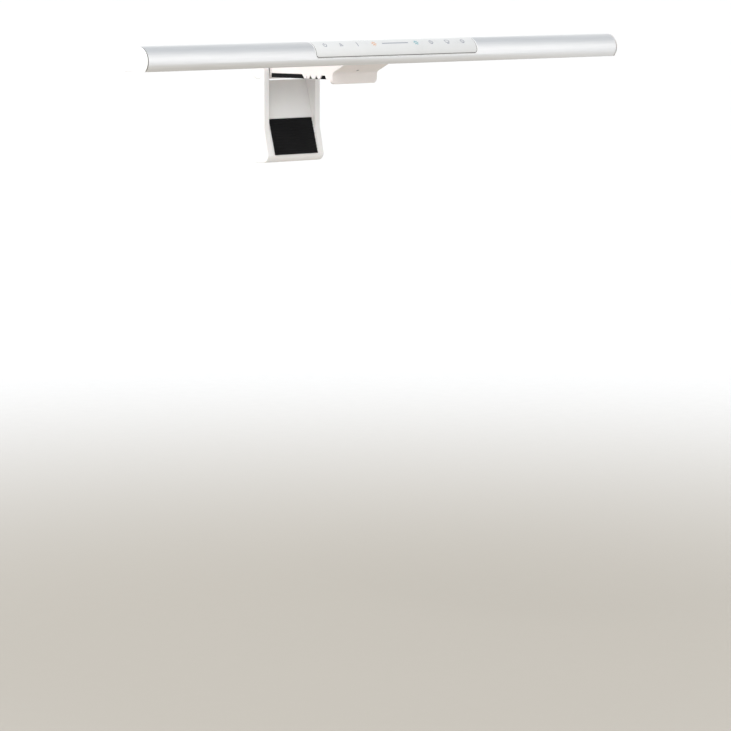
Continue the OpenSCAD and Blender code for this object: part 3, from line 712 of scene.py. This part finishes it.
SYMBOLS = {
    "power": (power, -74, "grey"), "steps": (steps, -57.6, "grey"), "mark": (stroke, -40.5, "grey"),
    "warm": (sun, -23.1, "warm"), "slider": (slider, -0.5, "grey"), "cool": (sun, 21.8, "cool"),
    "auto": (auto, 38.1, "grey"), "stand": (stand, 55.7, "grey"), "clock": (clock, 72.5, "grey"),
}
for name, (draw, x, ink) in SYMBOLS.items():
    shape = Shape()
    draw(shape, x)
    piece(shape.object("symbol_" + name, 30), "lamp", "print_" + ink)

# ---------------- lamp's underside and back


def make_diffuser():
    """The light outlet: a bar that fills the slot on a wider flange behind it."""
    loop = [(-47.4, 15.4), (-47.4, 14.25), (-45.85, 14.25), (-45.85, 13.3), (-45.65, 13.1), (-28.85, 13.1)]
    loop += [(-28.65, 13.3), (-28.65, 14.25), (-27.4, 14.25), (-27.4, 15.4)]
    return prism(loop, along_x, 0.15 - BAR, BAR - 0.15, 0.12).object("diffuser_bar", 30)


piece(make_diffuser(), "lamp", "diffuser", "diffuser")

TILT = (-18.40, 17.531)   # axis of the tilt hinge
BARREL = 4.6
BRACKET_Y = -23.9
SCREW_Z = 17.1
BRACKET_SCREWS = (-33.0, -20.0, 20.0, 33.0)


def lamp_solid(half):
    """The lamp's section as a solid, to fit pieces to its back."""
    return prism(section(-0.02, curved_rows()), along_x, -half, half)


def make_bracket():
    """Tilt bracket: a flange screwed to the lamp's back, with a knuckle on the hinge pin."""
    flange = prism(round_rect(-38, 13.7, 38, 22.5, 2.0), along_y, BACK - 4, BRACKET_Y, (0, 0.35))
    obj = cut(flange.object("bracket_plate"), lamp_solid(40))
    neck_z = 3.2
    side = math.sqrt(BARREL**2 - neck_z**2)
    start = math.degrees(math.atan2(neck_z, -side))
    loop = arc(TILT, BARREL, -start, start, 40) + [(-25.0, TILT[1] + neck_z), (-25.0, TILT[1] - neck_z)]
    joined(obj, prism(loop, along_x, -10.8, 10.8, 0.3))
    tools = [lathe([(1.62, -20), (1.62, 20)], (0, *TILT), along_x, 32)]
    for x in BRACKET_SCREWS:
        sink = [(1.25, -3), (1.25, -1.1), (2.35, 0), (2.45, 0.3)]
        tools.append(lathe(sink, (x, BRACKET_Y, SCREW_Z), along_y, 32))
    return shaded(cut(obj, *tools))


def cross_screw(place, head, shaft, length):
    """A countersunk screw with a cross recess, along Y: place is the middle of its head's face."""
    low = shaft - head - 0.1
    profile = [(shaft * 0.7, -length), (shaft, -length + 0.5), (shaft, low), (head, -0.12), (head - 0.1, 0)]
    obj = lathe(profile, (0, 0, 0), along_z, 28).object("screw")
    long, short, taper = 0.62 * head, 0.16 * head, 0.55
    for a, b in ((long, short), (short, long)):
        recess = Shape()
        top = [(x, y, 0.1) for x, y in ((-a, -b), (a, -b), (a, b), (-a, b))]
        end = [(x * taper, y * taper, -0.5 * head) for x, y, z in top]
        recess.face(top)
        recess.strip(top, end, closed=True)
        recess.face(end)
        cut(obj, recess)
    shaded(obj)
    obj.data.transform(Matrix.Translation(Vector(place) * MM) @ Matrix.Rotation(-math.pi / 2, 4, "X"))
    return obj


piece(make_bracket(), "lamp", "bracket", "tilt_bracket")
screws = [cross_screw((x, BRACKET_Y - 0.1, SCREW_Z), 2.1, 1.0, 5.5) for x in BRACKET_SCREWS]
piece(merged(screws, "bracket_screw_set"), "lamp", "screw", "bracket_screws")

SOCKET = (60.0, 18.5)


def make_housing():
    """Socket housing on the lamp's back, with a rounded mouth."""
    x, z = SOCKET
    loop = round_rect(x - 8, z - 4.2, x + 8, z + 4.2, 1.6)
    obj = prism(loop, along_y, BACK - 4, -19.5, (0, 0.7), 5).object("housing")
    mouth = prism(round_rect(x - 4.6, z - 1.75, x + 4.6, z + 1.75, 1.7, 8), along_y, -21.5, -19.0)
    room = prism(round_rect(x - 6.4, z - 2.9, x + 6.4, z + 2.9, 1.0), along_y, -35, -20.3)
    return shaded(cut(obj, lamp_solid(80), room, mouth))


def make_shell():
    """Steel shell of the USB-C socket, open to the back."""
    x, z = SOCKET
    shape = Shape()
    outer = round_rect(x - 4.47, z - 1.63, x + 4.47, z + 1.63, 1.6, 8)
    inner = round_rect(x - 4.17, z - 1.33, x + 4.17, z + 1.33, 1.3, 8)
    steps = [(outer, -25.1, 0), (outer, -19.8, 0), (outer, -19.7, 0.08), (inner, -19.7, -0.08)]
    steps += [(inner, -19.8, 0), (inner, -24.8, 0)]
    rows = [[(u, y, v) for u, v in inset(loop, d)] for loop, y, d in steps]
    shape.face(rows[0])
    shape.rows(rows, closed=True)
    shape.face(rows[-1])
    return shape.object("socket_shell_part", 40)


def make_tongue():
    """Contact tongue with rows of contacts above and below."""
    x, z = SOCKET
    shape = prism(round_rect(x - 3.3, z - 0.35, x + 3.3, z + 0.35, 0.15, 3), along_y, -24.5, -20.3, (0, 0.15))
    for i in range(12):
        c = x - 2.75 + 0.5 * i
        for side in (-1, 1):
            lo, hi = sorted((z + side * 0.30, z + side * 0.385))
            loop = [(c - 0.13, lo), (c + 0.13, lo), (c + 0.13, hi), (c - 0.13, hi)]
            prism(loop, along_y, -23.9, -20.7, (0, 0.03), mat=1, shape=shape)
    return shape.object("contact_tongue", 40)


piece(make_housing(), "lamp", "cap", "socket_housing")
piece(make_shell(), "lamp", "shell", "usb_socket")
piece(make_tongue(), "lamp", ["black", "contact"], "usb_tongue")

# ---------------- clip

CLIP = 24.0                      # half the clip's width
SIDE = 22.0                      # half the width between its side walls
SKIRT_IN = 23.0                  # and between its skirts
HOOK, LIP, LIP_TOP = 3.2, 3.6, 5.6     # hook plate: thickness, depth below the monitor's top, upper edge
FOOT = (-HOOK, 5.0)              # where the neck leaves the hook
NECK_WAY, NECK_UP = (-0.898794, 0.438371), (0.438371, 0.898794)
BRIDGE = 66.0
BRIDGE_LOW, BRIDGE_TOP, FLOOR = 3.2, 12.0, 5.0
ROOT = 3.9
HINGE = (75.3, 5.0)              # axis of the rear arm's hinge
KNUCKLE, KNUCKLE_R = 23.2, 6.6
COVER_SCREWS = [(x, y) for x in (-15.0, 15.0) for y in (13.0, 55.0)]
SENSOR_S = 3.4
BOSS_R = 2.6
FOLD_R = 2.6                     # inner rounding of the fold between hook and neck


def on_neck(s, o):
    return tuple(FOOT[i] + s * NECK_WAY[i] + o * NECK_UP[i] for i in range(2))


def fillet(corner, way_a, way_b, r, n=6):
    """Rounds the corner between the unit directions way_a and way_b, which leave it, from a to b."""
    a, b = Vector(way_a), Vector(way_b)
    turn = a.angle(b)
    reach = r / math.tan(turn / 2)
    centre = Vector(corner) + (a + b).normalized() * (r / math.sin(turn / 2))
    p, q = Vector(corner) + a * reach - centre, Vector(corner) + b * reach - centre
    start = math.degrees(math.atan2(p.y, p.x))
    sweep = math.degrees(math.atan2(p.x * q.y - p.y * q.x, p.dot(q)))
    return arc(centre, r, start, start + sweep, n)


def rod(p, r, x0, x1, n=48):
    return lathe([(r, x0), (r, x1)], (0, *p), along_x, n)


def clip_outline():
    barrel = arc(TILT, BARREL, -38.56, 244.0, 56)
    fold = fillet(FOOT, NECK_WAY, (0, -1), FOLD_R)
    root = [(-HOOK, 0), (ROOT, 0), (ROOT, BRIDGE_LOW), (BRIDGE, BRIDGE_LOW), (BRIDGE, BRIDGE_TOP)]
    return root + [(-9.34, BRIDGE_TOP)] + barrel + fold


SKIRT_LOW = 0.15
TOOTH_TOP = 2.9


def skirt_outline():
    """Lower edge of the skirt, with its wide notch, two V notches and a slit."""
    points = [(3.0, SKIRT_LOW), (ROOT, SKIRT_LOW), (ROOT + 1.4, TOOTH_TOP), (ROOT + 5.2, TOOTH_TOP)]
    points += [(ROOT + 7, SKIRT_LOW)]
    for y, half, top in ((15.0, 2.4, TOOTH_TOP), (21.6, 2.4, TOOTH_TOP), (25.89, 0.75, TOOTH_TOP - 0.5)):
        reach = half * (top - SKIRT_LOW) / (top + 1)
        points += [(y - reach, SKIRT_LOW), (y, top), (y + reach, SKIRT_LOW)]
    return points + [(28.4, SKIRT_LOW), (31.0, 3.21), (31.6, 4.0), (3.0, 4.0)]


def clip_width(middle, way):
    x, y, z = middle
    across = abs(way.x) > 0.99
    if y < 0.05 and z < 3.3 and abs(way.y) < 0.1:
        return 0.75 if y < -1.6 else 0.35             # lip of the hook plate
    if abs(way.y) > 0.99 and y < 0 and z < 0:
        return 0.0
    if abs(abs(x) - CLIP) < 0.02 and y < BRIDGE + 0.1:
        return 0.18 if z < BRIDGE_LOW - 0.02 and y > 2 else 0.45
    if abs(abs(x) - SKIRT_IN) < 0.02 and z < BRIDGE_LOW + 0.1:
        return 0.12
    if z < BRIDGE_LOW and y > 2 and y < 32 and across:
        return 0.12
    if abs(z - BRIDGE_TOP) < 0.02 and abs(x) < SIDE + 0.1:
        return 0.2
    if abs(abs(x) - KNUCKLE) < 0.02:
        return 0.3 if math.hypot(y - HINGE[0], z - HINGE[1]) > 6 or y < 70 else 0.12
    if abs(abs(x) - 11.2) < 0.02 and y < -12:
        return 0.3
    if across and y > BRIDGE - 0.1 and z > 11:
        return 0.25
    return 0.0


def make_clip_frame():
    obj = prism(clip_outline(), along_x, -CLIP, CLIP).object("clip_body")
    right = arc((CLIP - LIP, 0), LIP, -90, 0, 8) + [(CLIP, LIP_TOP)]
    hook = right + [(-x, z) for x, z in reversed(right)]
    parts = [prism(hook, along_y, -HOOK, 0)]
    reach = math.degrees(math.asin(3.5 / KNUCKLE_R))
    knuckle = arc(HINGE, KNUCKLE_R, -180 + reach, 90, 44)
    top = HINGE[1] + KNUCKLE_R
    knuckle += [(BRIDGE, top), (BRIDGE - 1, top), (BRIDGE - 1, 3.3), (BRIDGE, 3.3), (BRIDGE, 1.5)]
    parts.append(prism(knuckle, along_x, -KNUCKLE, KNUCKLE))
    parts += [prism(skirt_outline(), along_x, *ends) for ends in ((-CLIP, -SKIRT_IN), (SKIRT_IN, CLIP))]
    joined(obj, *parts)
    cavity = [(-1.2, FLOOR), (64, FLOOR), (64, 13), (-8.6, 13), (-8.6, on_neck(7, 1.8)[1]), on_neck(0, 1.8)]
    tools = [prism(cavity, along_x, -SIDE, SIDE)]
    tools += [rod(TILT, BARREL + 0.7, -11.2, 11.2), rod(TILT, 1.56, -25, 25, 32)]
    tools += [prism(round_rect(-22, -2.8, 22, -0.3, 1.0), along_y, -0.8, 1)]
    tools += [rod(HINGE, 2.35, -25, 25)]
    for side in (-1, 1):
        tools += [rod(HINGE, 5.2, *sorted((side * 8.0, side * 21.5)))]
        tools += [rod(HINGE, 3.02, *sorted((side * 20.5, side * 24.0)))]
    for x, y in COVER_SCREWS:
        profile = [(2.2, -1.0), (2.2, 4.3), (1.15, 4.3), (1.15, 8.0)]
        tools.append(lathe(profile, (x, y, 0), along_z, 32))
    hole = stand_on_neck(lathe([(1.32, -1), (1.32, 3)], (0, 0, 0), along_z, 40).object("sensor_hole"))
    cut(obj, *tools, hole)
    return shaded(soften(obj, clip_width))


def stand_on_neck(obj):
    """Turns an object made about the z axis to stand on the neck's underside, with z up through the neck."""
    angle = math.atan2(-NECK_UP[0], NECK_UP[1])
    place = Vector((0, *on_neck(SENSOR_S, 0))) * MM
    obj.data.transform(Matrix.Translation(place) @ Matrix.Rotation(angle, 4, "X"))
    return obj


def make_clip_cover():
    half = SIDE - 0.15
    loop = round_rect(-half, -8.45, half, 63.85, 0.3, 3)
    obj = prism(loop, along_z, 10.2, BRIDGE_TOP, (0, 0.25)).object("cover_plate")
    boss = [(BOSS_R, FLOOR + 0.05), (BOSS_R, 10.6)]
    joined(obj, *(lathe(boss, (x, y, 0), along_z, 32) for x, y in COVER_SCREWS))
    bore = [(0.99, 4), (0.99, 10.6)]
    return shaded(cut(obj, *(lathe(bore, (x, y, 0), along_z, 24) for x, y in COVER_SCREWS)))


piece(make_clip_frame(), "clip", "clip", "clip_frame")
piece(make_clip_cover(), "clip", "clip", "clip_cover")


def grooved(lo, hi, count, deep, wide=0.9):
    """A pad's grooved face from lo to hi, as (place, depth) pairs."""
    pitch = (hi - lo) / (count + 1)
    points = [(lo, 0.0)]
    for i in range(1, count + 1):
        c = lo + pitch * i
        points += [(c - wide / 2, 0.0), (c - wide / 3, deep), (c + wide / 3, deep), (c + wide / 2, 0.0)]
    return points + [(hi, 0.0)]


def make_bridge_pad():
    inner = SKIRT_IN - 0.2
    front = ROOT + 0.2
    loop = grooved(front, BRIDGE, 19, 0.35) + [(BRIDGE, BRIDGE_LOW), (front, BRIDGE_LOW)]
    obj = prism(loop, along_x, -inner, inner, 0.06).object("bridge_pad_rubber")
    strip = [(28.8, 0.0), (BRIDGE, 0.0), (BRIDGE, BRIDGE_LOW), (31.3, BRIDGE_LOW)]
    left = prism(strip, along_x, -CLIP, 0.4 - inner, (0.2, 0))
    right = prism(strip, along_x, inner - 0.4, CLIP, (0, 0.2))
    return shaded(joined(obj, left, right))


def make_hook_pad():
    shape = prism(round_rect(-21.9, -2.7, 21.9, -0.4, 1.0), along_y, -0.8, 0.0, (0, 0.2))
    return shape.object("hook_pad_rubber")


piece(make_bridge_pad(), "clip", "rubber", "bridge_pad")
piece(make_hook_pad(), "clip", "rubber", "hook_pad")


def make_lens():
    profile = [(0.0, 2.29), (1.9, 2.29), (1.9, 1.84), (1.25, 1.84), (1.25, 0.26), (1.18, 0.14), (0.95, 0.08)]
    profile += [(0.5, 0.06), (0.0, 0.05)]
    return stand_on_neck(lathe(profile, (0, 0, 0), along_z, 40).object("sensor_lens"))


def make_tilt_pin():
    end, r = 23.4, 1.5
    profile = [(0.0, -end), (r - 0.35, -end), (r - 0.1, -end + 0.12), (r, -end + 0.4)]
    profile += [(r, end - 0.4), (r - 0.1, end - 0.12), (r - 0.35, end), (0.0, end)]
    return lathe(profile, (0, *TILT), along_x, 40).object("tilt_pin_rod", 30)


def make_bushes():
    objs = []
    for side in (-1, 1):
        profile = [(2.06, 21.5), (3.0, 21.5), (3.0, 23.27), (6.1, 23.27), (6.3, 23.45), (6.3, 24.37)]
        profile += [(6.1, 24.55), (2.3, 24.55), (2.06, 24.4), (2.06, 21.5)]
        shape = lathe([(r, side * x) for r, x in profile], (0, *HINGE), along_x, 56)
        objs.append(shape.object("bush", 30))
    return merged(objs, "hinge_bush_pair")


piece(make_lens(), "clip", "lens", "sensor_window")
piece(make_tilt_pin(), "clip", "steel", "tilt_pin")
piece(make_bushes(), "clip", "black", "hinge_bushes")

# ---------------- rear arm

CHEEK_IN, CHEEK_OUT, CHEEK_R = 24.6, 30.0, 7.3
WEB_TOP, WEB_START = 8.0, 22.0
FOOT_S, FOOT_N, FOOT_R = 65.9, 11.763, 6.0
SLOPE = math.tan(math.radians(15))
ARM_WALL = 2.0
ARM_SCREWS = [(x, s) for x in (-20.5, 20.5) for s in (14.0, 66.0)]
ARM_BACK = HINGE[0] + CHEEK_R
CAP_R, CAP_WALL = 6.4, 1.2
PAD_DEEP, PAD_OUT = 0.6, 1.0     # how far the pad goes in behind the arm's front, and stands out of it


def on_arm(n, s):
    """The point n in front of the arm's hinge and s below it."""
    return HINGE[0] - n, HINGE[1] - s


def web_n(s, t=0.0):
    return (s - WEB_START) * SLOPE - t / math.cos(math.radians(15))


def foot_outline():
    front = arc(on_arm(FOOT_N - FOOT_R, FOOT_S), FOOT_R, 180, 270, 12)
    return front + arc(on_arm(FOOT_R - CHEEK_R, FOOT_S), FOOT_R, 270, 360, 12)


def arm_width(middle, way):
    x, y, z = middle
    if abs(abs(x) - CHEEK_OUT) < 0.02:
        return 0.15 if math.hypot(y - HINGE[0], z - HINGE[1]) < 6.8 else 0.5
    if abs(abs(x) - CHEEK_IN) < 0.02:
        return 0.35
    if abs(y - ARM_BACK) < 0.02:
        return 0.2
    if abs(abs(x) - 22.6) < 0.02:
        return 0.12
    if abs(way.x) > 0.99 and abs(x) < CHEEK_IN:
        return 0.3
    return 0.0


def make_arm_frame():
    cheek = arc(HINGE, CHEEK_R, 0, 180, 40)
    cheek += [on_arm(CHEEK_R, CHEEK_R / SLOPE + WEB_START - 4)] + foot_outline()
    web = [on_arm(-CHEEK_R, WEB_TOP), on_arm(-4, WEB_TOP), on_arm(0, WEB_START)] + foot_outline()
    obj = prism(web, along_x, -CHEEK_IN - 0.01, CHEEK_IN + 0.01).object("arm_body")
    joined(obj, *(prism(cheek, along_x, *ends) for ends in ((-CHEEK_OUT, -CHEEK_IN), (CHEEK_IN, CHEEK_OUT))))
    low = FOOT_S + 3.4
    n_low = web_n(FOOT_S - 2, ARM_WALL)
    cavity = [on_arm(-CHEEK_R - 1, WEB_TOP + 2.4), on_arm(-4.6, WEB_TOP + 2.4), on_arm(-2.4, WEB_START)]
    cavity += [on_arm(n_low, FOOT_S - 2), on_arm(n_low, low), on_arm(-CHEEK_R - 1, low)]
    half = CHEEK_IN - ARM_WALL
    screws = [(x, 0, HINGE[1] - s) for x, s in ARM_SCREWS]
    posts = [lathe([(2.1, 50), (2.1, ARM_BACK - 1.85)], place, along_y, 32) for place in screws]
    tools = [cut(prism(cavity, along_x, -half, half).object("room"), *posts)]
    tools += [lathe([(0.99, HINGE[0] + 3.4), (0.99, 90)], place, along_y, 24) for place in screws]
    tools.append(rod(HINGE, 2.04, -40, 40))
    for side in (-1, 1):
        tools.append(rod(HINGE, CAP_R + 0.15, *sorted((side * (CHEEK_OUT - CAP_WALL), side * 40)), 64))
    tools.append(prism(pad_outline(), along_x, -half, half))
    cut(obj, *tools)
    return shaded(soften(obj, arm_width))


def pad_outline():
    """Seat of the arm's pad, cut through the sloping front."""
    s0, s1 = WEB_START + 16, FOOT_S
    corners = ((s0, PAD_DEEP), (s0, -PAD_OUT), (s1, -PAD_OUT), (s1, PAD_DEEP))
    return [on_arm(web_n(s, deep), s) for s, deep in corners]


def make_arm_pad():
    """Pad on the arm's sloping front, with cross grooves."""
    gap = 0.05
    s0, s1 = WEB_START + 16 + gap, FOOT_S - gap
    face = [(s, deep - PAD_OUT) for s, deep in grooved(s0, s1, 11, 0.3)]
    loop = [on_arm(web_n(s, deep), s) for s, deep in [(s0, PAD_DEEP)] + face + [(s1, PAD_DEEP)]]
    half = CHEEK_IN - ARM_WALL - gap
    return prism(loop, along_x, -half, half, 0.06).object("arm_pad_rubber")


def make_arm_cover():
    half = CHEEK_IN - ARM_WALL - 0.15
    low, high = HINGE[1] - FOOT_S - 3.4 + 0.15, HINGE[1] - WEB_TOP - 2.4 - 0.15
    plate = prism(round_rect(-half, low, half, high, 1.0), along_y, ARM_BACK - 1.8, ARM_BACK, (0, 0.2))
    profile = [(1.15, -3), (1.15, -1.1), (2.25, 0), (2.35, 0.2)]
    sinks = [lathe(profile, (x, ARM_BACK, HINGE[1] - s), along_y, 32) for x, s in ARM_SCREWS]
    return shaded(cut(plate.object("arm_plate"), *sinks))


def make_caps():
    objs = []
    for side in (-1, 1):
        x0 = CHEEK_OUT - CAP_WALL + 0.05
        profile = [(0.0, x0), (CAP_R, x0), (CAP_R, CHEEK_OUT - 0.32), (CAP_R - 0.08, CHEEK_OUT - 0.14)]
        profile += [(CAP_R - 0.3, CHEEK_OUT - 0.04), (CAP_R - 0.9, CHEEK_OUT), (0.0, CHEEK_OUT)]
        objs.append(lathe([(r, side * x) for r, x in profile], (0, *HINGE), along_x, 72).object("cap", 30))
    return merged(objs, "pivot_cap_pair")


piece(make_arm_frame(), "arm", "arm", "arm_frame")
piece(make_arm_cover(), "arm", "arm", "arm_cover")
piece(make_arm_pad(), "arm", "rubber", "arm_pad")
piece(make_caps(), "arm", "arm", "pivot_caps")
screws = [cross_screw((x, ARM_BACK - 0.1, HINGE[1] - s), 2.0, 0.95, 3.5) for x, s in ARM_SCREWS]
piece(merged(screws, "arm_screw_set"), "arm", "screw", "arm_screws")

# ---------------- camera, lights and floor

SIGHT = (0.69005, 0.71235, -0.12803)
STAND = Vector((-1738.6, -1809.6, 100.8)) * MM
PAPER_Z, PAPER_HALF = -0.45, 40          # height of the floor and half its side, in metres
# grey levels of the studio by height: bright round the horizon, calmer and slightly blue overhead
LEVELS = ((0.0, (0.96, 0.955, 0.945)), (0.15, (0.98, 0.975, 0.965)), (0.55, (0.79, 0.79, 0.79)),
          (0.88, (0.53, 0.545, 0.56)), (1.0, (0.45, 0.47, 0.49)))


def placed(name, data, location=(0, 0, 0), way=(0, 0, -1)):
    """An object in the scene at location, in metres, which looks or shines along way."""
    obj = bpy.data.objects.new(name, data)
    obj.location = location
    obj.rotation_euler = Vector(way).to_track_quat("-Z", "Y").to_euler()
    bpy.context.scene.collection.objects.link(obj)
    return obj


def make_world():
    """A studio whose light changes with height, and only a little along the lamp."""
    world = bpy.data.worlds.new("studio")
    world.use_nodes = True
    tree = world.node_tree
    squeeze = {0: add(tree, "TexCoord", {}, "Generated"), 1: (0.2, 1.0, 1.0)}
    way = add(tree, "VectorMath", squeeze, 0, operation="MULTIPLY")
    unit = add(tree, "VectorMath", {0: way}, 0, operation="NORMALIZE")
    ramp = tree.nodes.new("ShaderNodeValToRGB")
    tree.links.new(add(tree, "SeparateXYZ", {0: unit}, "Z"), ramp.inputs[0])
    for place, (height, colour) in enumerate(LEVELS):
        knots = ramp.color_ramp.elements
        knot = knots[place] if place < 2 else knots.new(height)
        knot.position = height
        knot.color = (*colour, 1)
    ground = tree.nodes["Background"]
    tree.links.new(ramp.outputs[0], ground.inputs["Color"])
    ground.inputs["Strength"].default_value = 1.28
    bpy.context.scene.world = world


def make_lights():
    panel = bpy.data.lights.new("side_panel", "AREA")
    panel.shape = "RECTANGLE"
    panel.size, panel.size_y = 1.4, 1.0
    panel.energy = 6
    place = Vector((-2.2, -0.9, 0.5))
    placed("side_panel", panel, place, -place)
    sun_light = bpy.data.lights.new("overhead", "SUN")
    sun_light.energy = 1.6
    sun_light.angle = math.radians(50)
    placed("overhead", sun_light, way=(0.70, 0.12, -0.70))


def paint_shade_near(mat, near, start, end):
    """Paints shade into mat: turns its colour to near within start metres of the object's middle, but not
    beyond end.
    """
    tree = mat.node_tree
    base = next(n for n in tree.nodes if n.type == "BSDF_PRINCIPLED").inputs["Base Color"]
    away = add(tree, "VectorMath", {0: add(tree, "TexCoord", {}, "Object")}, "Value", operation="LENGTH")
    reach = {"Value": away, "From Min": start, "From Max": end}
    fall = add(tree, "MapRange", reach, "Result", interpolation_type="SMOOTHSTEP")
    tree.links.new(mixed(tree, fall, (*near, 1), base.links[0].from_socket), base)


def make_floor():
    """Pale paper with painted shade: a warmer, darker grey painted under the lamp."""
    bm = bmesh.new()
    bmesh.ops.create_grid(bm, x_segments=2, y_segments=2, size=PAPER_HALF)
    mesh = bpy.data.meshes.new("floor")
    bm.to_mesh(mesh)
    bm.free()
    paper = finish("paper_and_painted_shade", (0.885, 0.88, 0.875), (0.905, 0.90, 0.895), (0.8, 0.9), 300, 2e-5)
    # painted shade: the paper darkens to a warm grey under the lamp, standing in for the shade there
    paint_shade_near(paper, (0.49, 0.455, 0.40), 0.2, 1.9)
    mesh.materials.append(paper)
    return placed("floor", mesh, (0, 0, PAPER_Z))


camera = bpy.data.cameras.new("camera")
camera.lens = 159.61
camera.sensor_width = 36
camera.clip_end = 50
bpy.context.scene.camera = placed("camera", camera, STAND, SIGHT)
bpy.context.scene.view_settings.view_transform = "Standard"
make_world()
make_lights()
make_floor()
